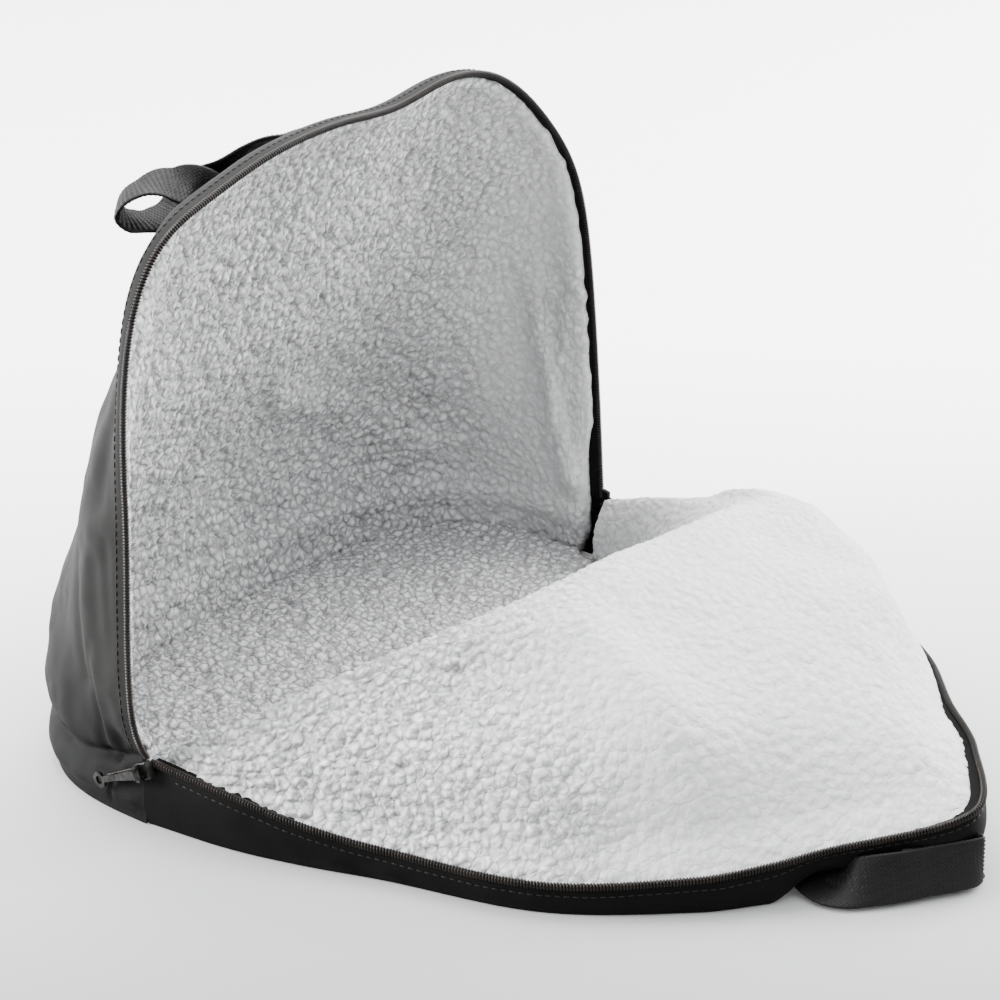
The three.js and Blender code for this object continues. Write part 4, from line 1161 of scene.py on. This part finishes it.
def makeHandles():
    # the body handle is sewn on the slope behind the zip edge and its loop lies over its own far run,
    # the flap handle is sewn against the strip
    seats = handleSeats

    def bodyAnchor(turn):
        # place a little outside the dome, and the way up its slope
        turn = np.array([turn])
        swing = np.array([seats["swing"]])
        step = seats["swingStep"]
        side = unit(domePoint(turn, swing + step) - domePoint(turn, swing - step))
        return bodyPoint(turn, swing, -seats["out"])[0], side[0]

    def flapAnchor(along):
        # place outside the strip, below the rim but with the strap clear of the floor, and the way up
        along = np.array([along])
        point = (rimPoint(along) - rimInward(along) * seats["rimOut"])[0]
        point[2] = max(point[2] - seats["rimDrop"], strapLook["width"] / 2 + seats["floorGap"])
        return point, (0, 0, 1)

    near, far = ([bodyAnchor(turn) for turn in seats[end]] for end in ("near", "far"))
    rows = near + bodyHandleRows + far
    top = makePiece("body_handle_strap", strapParts(rows), webbing, ["body_handle"])
    rows = flapHandleRows + [flapAnchor(along) for along in seats["rim"]]
    low = makePiece("flap_handle_strap", strapParts(rows), webbing, ["flap_handle"])
    return top, low


bodyStrap, flapStrap = makeHandles()

stitchLook = {
    "length": 3.0, "pitch": 4.4, "half": 0.42, "taper": 0.35, "shoulder": 0.34, "sides": 6, "sink": 0.1,
    "behindZip": 4.6, "archLowest": 20, "archEnds": 0.14, "normalSwing": 2,
    "belowTape": 3.4, "stripLowest": 8, "rimEnds": 0.02,
}


def stitchParts(centres, along, up):
    # thread of few sides with tapered ends at each place, all in one mesh
    shoulder, taper = stitchLook["shoulder"], stitchLook["taper"]
    places = np.array([-0.5, -shoulder, shoulder, 0.5]) * stitchLook["length"]
    swell = np.array([taper, 1.0, 1.0, taper]) * stitchLook["half"]
    angle = np.linspace(0, 2 * math.pi, stitchLook["sides"], endpoint=False)
    side = np.cross(along, up)
    ring = np.cos(angle)[:, None] * side[:, None] + np.sin(angle)[:, None] * up[:, None]
    points = (centres[:, None] + along[:, None] * places[None, :, None])[:, :, None]
    points = points + ring[:, None] * swell[None, :, None, None]
    index = np.arange(points.size // 3).reshape(points.shape[:3])
    wrapped = np.concatenate([index, index[:, :, :1]], 2)
    corners = [wrapped[:, :-1, :-1], wrapped[:, :-1, 1:], wrapped[:, 1:, 1:], wrapped[:, 1:, :-1]]
    quads = np.stack([corner.ravel() for corner in corners], -1)
    faces = [quads, index[:, 0, ::-1], index[:, -1]]
    flat = points.reshape(-1, 3)
    return flat, faces, flat[:, :2] * mm


def makeStitches():
    # one row on the cloth behind the arch's zip, one on the strip below the flap's zip
    def behindZip(turn):
        # line on the shell, the same distance behind the zip edge all round
        height = np.maximum(archEdge(turn)[..., 2], stitchLook["archLowest"])
        swing = topSwing - np.degrees(np.arctan(stitchLook["behindZip"] / height))
        relief = shellRelief(domePoint(turn, swing), swing)
        return bodyPoint(turn, swing, relief - stitchLook["sink"])

    def belowTape(along):
        # line on the strip, the same distance below the tape all along
        height = rimPoint(along)[..., 2] - gussetLook["tapeRoom"]
        share = stitchLook["belowTape"] / np.maximum(height, stitchLook["stripLowest"])
        return gussetGrid(along, share, -stitchLook["sink"])

    def row(curve, outOf, low, high):
        # stitches spaced evenly along a curve, turned square to the way out of the cloth
        at = evenRows(curve, low, high, int(curveLength(curve, low, high) / stitchLook["pitch"]))
        centres = curve(at)
        along = unit(np.gradient(centres, axis=0))
        up = outOf(at)
        up = unit(up - along * np.sum(up * along, -1, keepdims=True))
        return stitchParts(centres, along, up)

    archNormal = lambda turn: domeNormal(turn, np.full_like(turn, topSwing - stitchLook["normalSwing"]))
    stripNormal = lambda along: -rimInward(along)
    archEnds, rimEnds = stitchLook["archEnds"], stitchLook["rimEnds"]
    rows = [row(behindZip, archNormal, archEnds, math.pi - archEnds)]
    rows.append(row(belowTape, stripNormal, rimEnds, 1 - rimEnds))
    return makePiece("seam_stitches", joinParts(rows), webbing)


tailLook = {"start": (-191.9, 2.6, 31.4), "end": (-191.9, 23.4, 19.8), "apart": 0.95, "coilHalf": (1.0, 0.9)}


def makeTail():
    # closed teeth behind the slider, both coils side by side
    start, end = np.array(tailLook["start"]), np.array(tailLook["end"])
    out = np.array([-1.0, 0.0, 0.0])
    side = np.cross(unit(end - start), out)
    count = int(np.linalg.norm(end - start) / zipLook["pitch"] * zipLook["perTooth"])
    middle = start + (end - start) * np.linspace(0, 1, count)[:, None]
    ways = [np.tile(way, (count, 1)) for way in (side, out)]
    halves = []
    for place in (-tailLook["apart"], tailLook["apart"]):
        halves.append(tubeParts(coilRings(middle + side * place, *ways, *tailLook["coilHalf"])))
    parts = joinParts(halves)
    return makePiece("zip_tail_coil", parts, coil, ["zip_tail"], sharp=zipLook["sharp"])


tabLook = {
    "rows": [[(188.4, -7, 26), (188.4, 6, 26)], [(188.4, -7, 42), (188.4, 6, 45)]], "thick": 2.4,
}


def makeEndTab():
    # folded tab over the zip's right end
    inner = np.array(tabLook["rows"], float)
    outer = inner + np.array([tabLook["thick"], 0, 0])
    return makePiece("zip_end_tab", slabParts(inner, outer), tape)


makeStitches()
makeTail()
endTab = makeEndTab()

# the slider and its pull keep their CAD shapes
for nodeName in ("zip_slider", "zip_pull"):
    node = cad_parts[nodeName]
    node.data.materials.clear()
    node.data.materials.append(metal)


# studio

# near: the floor's colour in front, darkened as painted shade
stageLook = {
    "size": 9.0, "drop": 0.0004, "near": (0.12, 0.12, 0.119), "far": (0.97, 0.97, 0.97),
    "depthWay": (0.788, 0.616, 0), "depth": (-0.5, 0.45), "rough": 0.8, "gloss": 0.2,
    "tint": (0.97, 0.985, 1.0, 1), "front": 0.85, "behind": 4.8, "brightWay": (0.62, 0.49, 0.62),
    "turn": (-0.5, 0.7), "aim": (0, -0.1, 0.1),
}
lights = [  # name, place, size, power
    ("overhead", (0.55, 0.5, 1.7), 1.3, 50.0),
    ("leftSide", (-1.5, 1.55, 0.75), 0.8, 160.0),
    ("rightSide", (1.6, -0.6, 0.75), 0.9, 76.0),
]


def makeStage():
    # wide floor, grey in front by painted shade and white behind, a room that is brighter above and behind,
    # three soft lights
    half = stageLook["size"] / 2
    mesh = bpy.data.meshes.new("floor")
    plan = ((-half, -half), (half, -half), (half, half), (-half, half))
    mesh.from_pydata([(x, y, -stageLook["drop"]) for x, y in plan], [], [(0, 1, 2, 3)])
    floor = bpy.data.objects.new("floor", mesh)
    bpy.context.scene.collection.objects.link(floor)
    material, tree, shader = newMaterial("paleFloor")
    place = addNode(tree, "ShaderNodeTexCoord").outputs["Object"]
    links = [(0, place), (1, stageLook["depthWay"])]
    depth = addNode(tree, "ShaderNodeVectorMath", links, operation="DOT_PRODUCT").outputs["Value"]
    share = valueRange(tree, depth, *stageLook["depth"], 0.0, 1.0)
    # painted shade: the floor's colour goes dark towards the front
    colour = colourRamp(tree, share, [(0.0, stageLook["near"]), (1.0, stageLook["far"])])
    feed(tree, shader, [
        ("Base Color", colour), ("Roughness", stageLook["rough"]),
        ("Specular IOR Level", stageLook["gloss"]),
    ])
    mesh.materials.append(material)
    world = bpy.data.worlds.new("studio")
    world.use_nodes = True
    tree = world.node_tree
    sky = tree.nodes["Background"]
    sky.inputs[0].default_value = stageLook["tint"]
    way = addNode(tree, "ShaderNodeTexCoord").outputs["Generated"]
    links = [(0, way), (1, stageLook["brightWay"])]
    facing = addNode(tree, "ShaderNodeVectorMath", links, operation="DOT_PRODUCT").outputs["Value"]
    brightness = valueRange(tree, facing, *stageLook["turn"], stageLook["front"], stageLook["behind"])
    tree.links.new(brightness, sky.inputs[1])
    bpy.context.scene.world = world
    for name, spot, size, power in lights:
        lamp = bpy.data.objects.new(name, bpy.data.lights.new(name, "AREA"))
        lamp.data.size = size
        lamp.data.energy = power
        lamp.location = spot
        aim = np.array(stageLook["aim"]) - np.array(spot)
        tilt = math.atan2(math.hypot(aim[0], aim[1]), -aim[2])
        lamp.rotation_euler = (tilt, 0, math.atan2(-aim[0], aim[1]))
        bpy.context.scene.collection.objects.link(lamp)


makeStage()
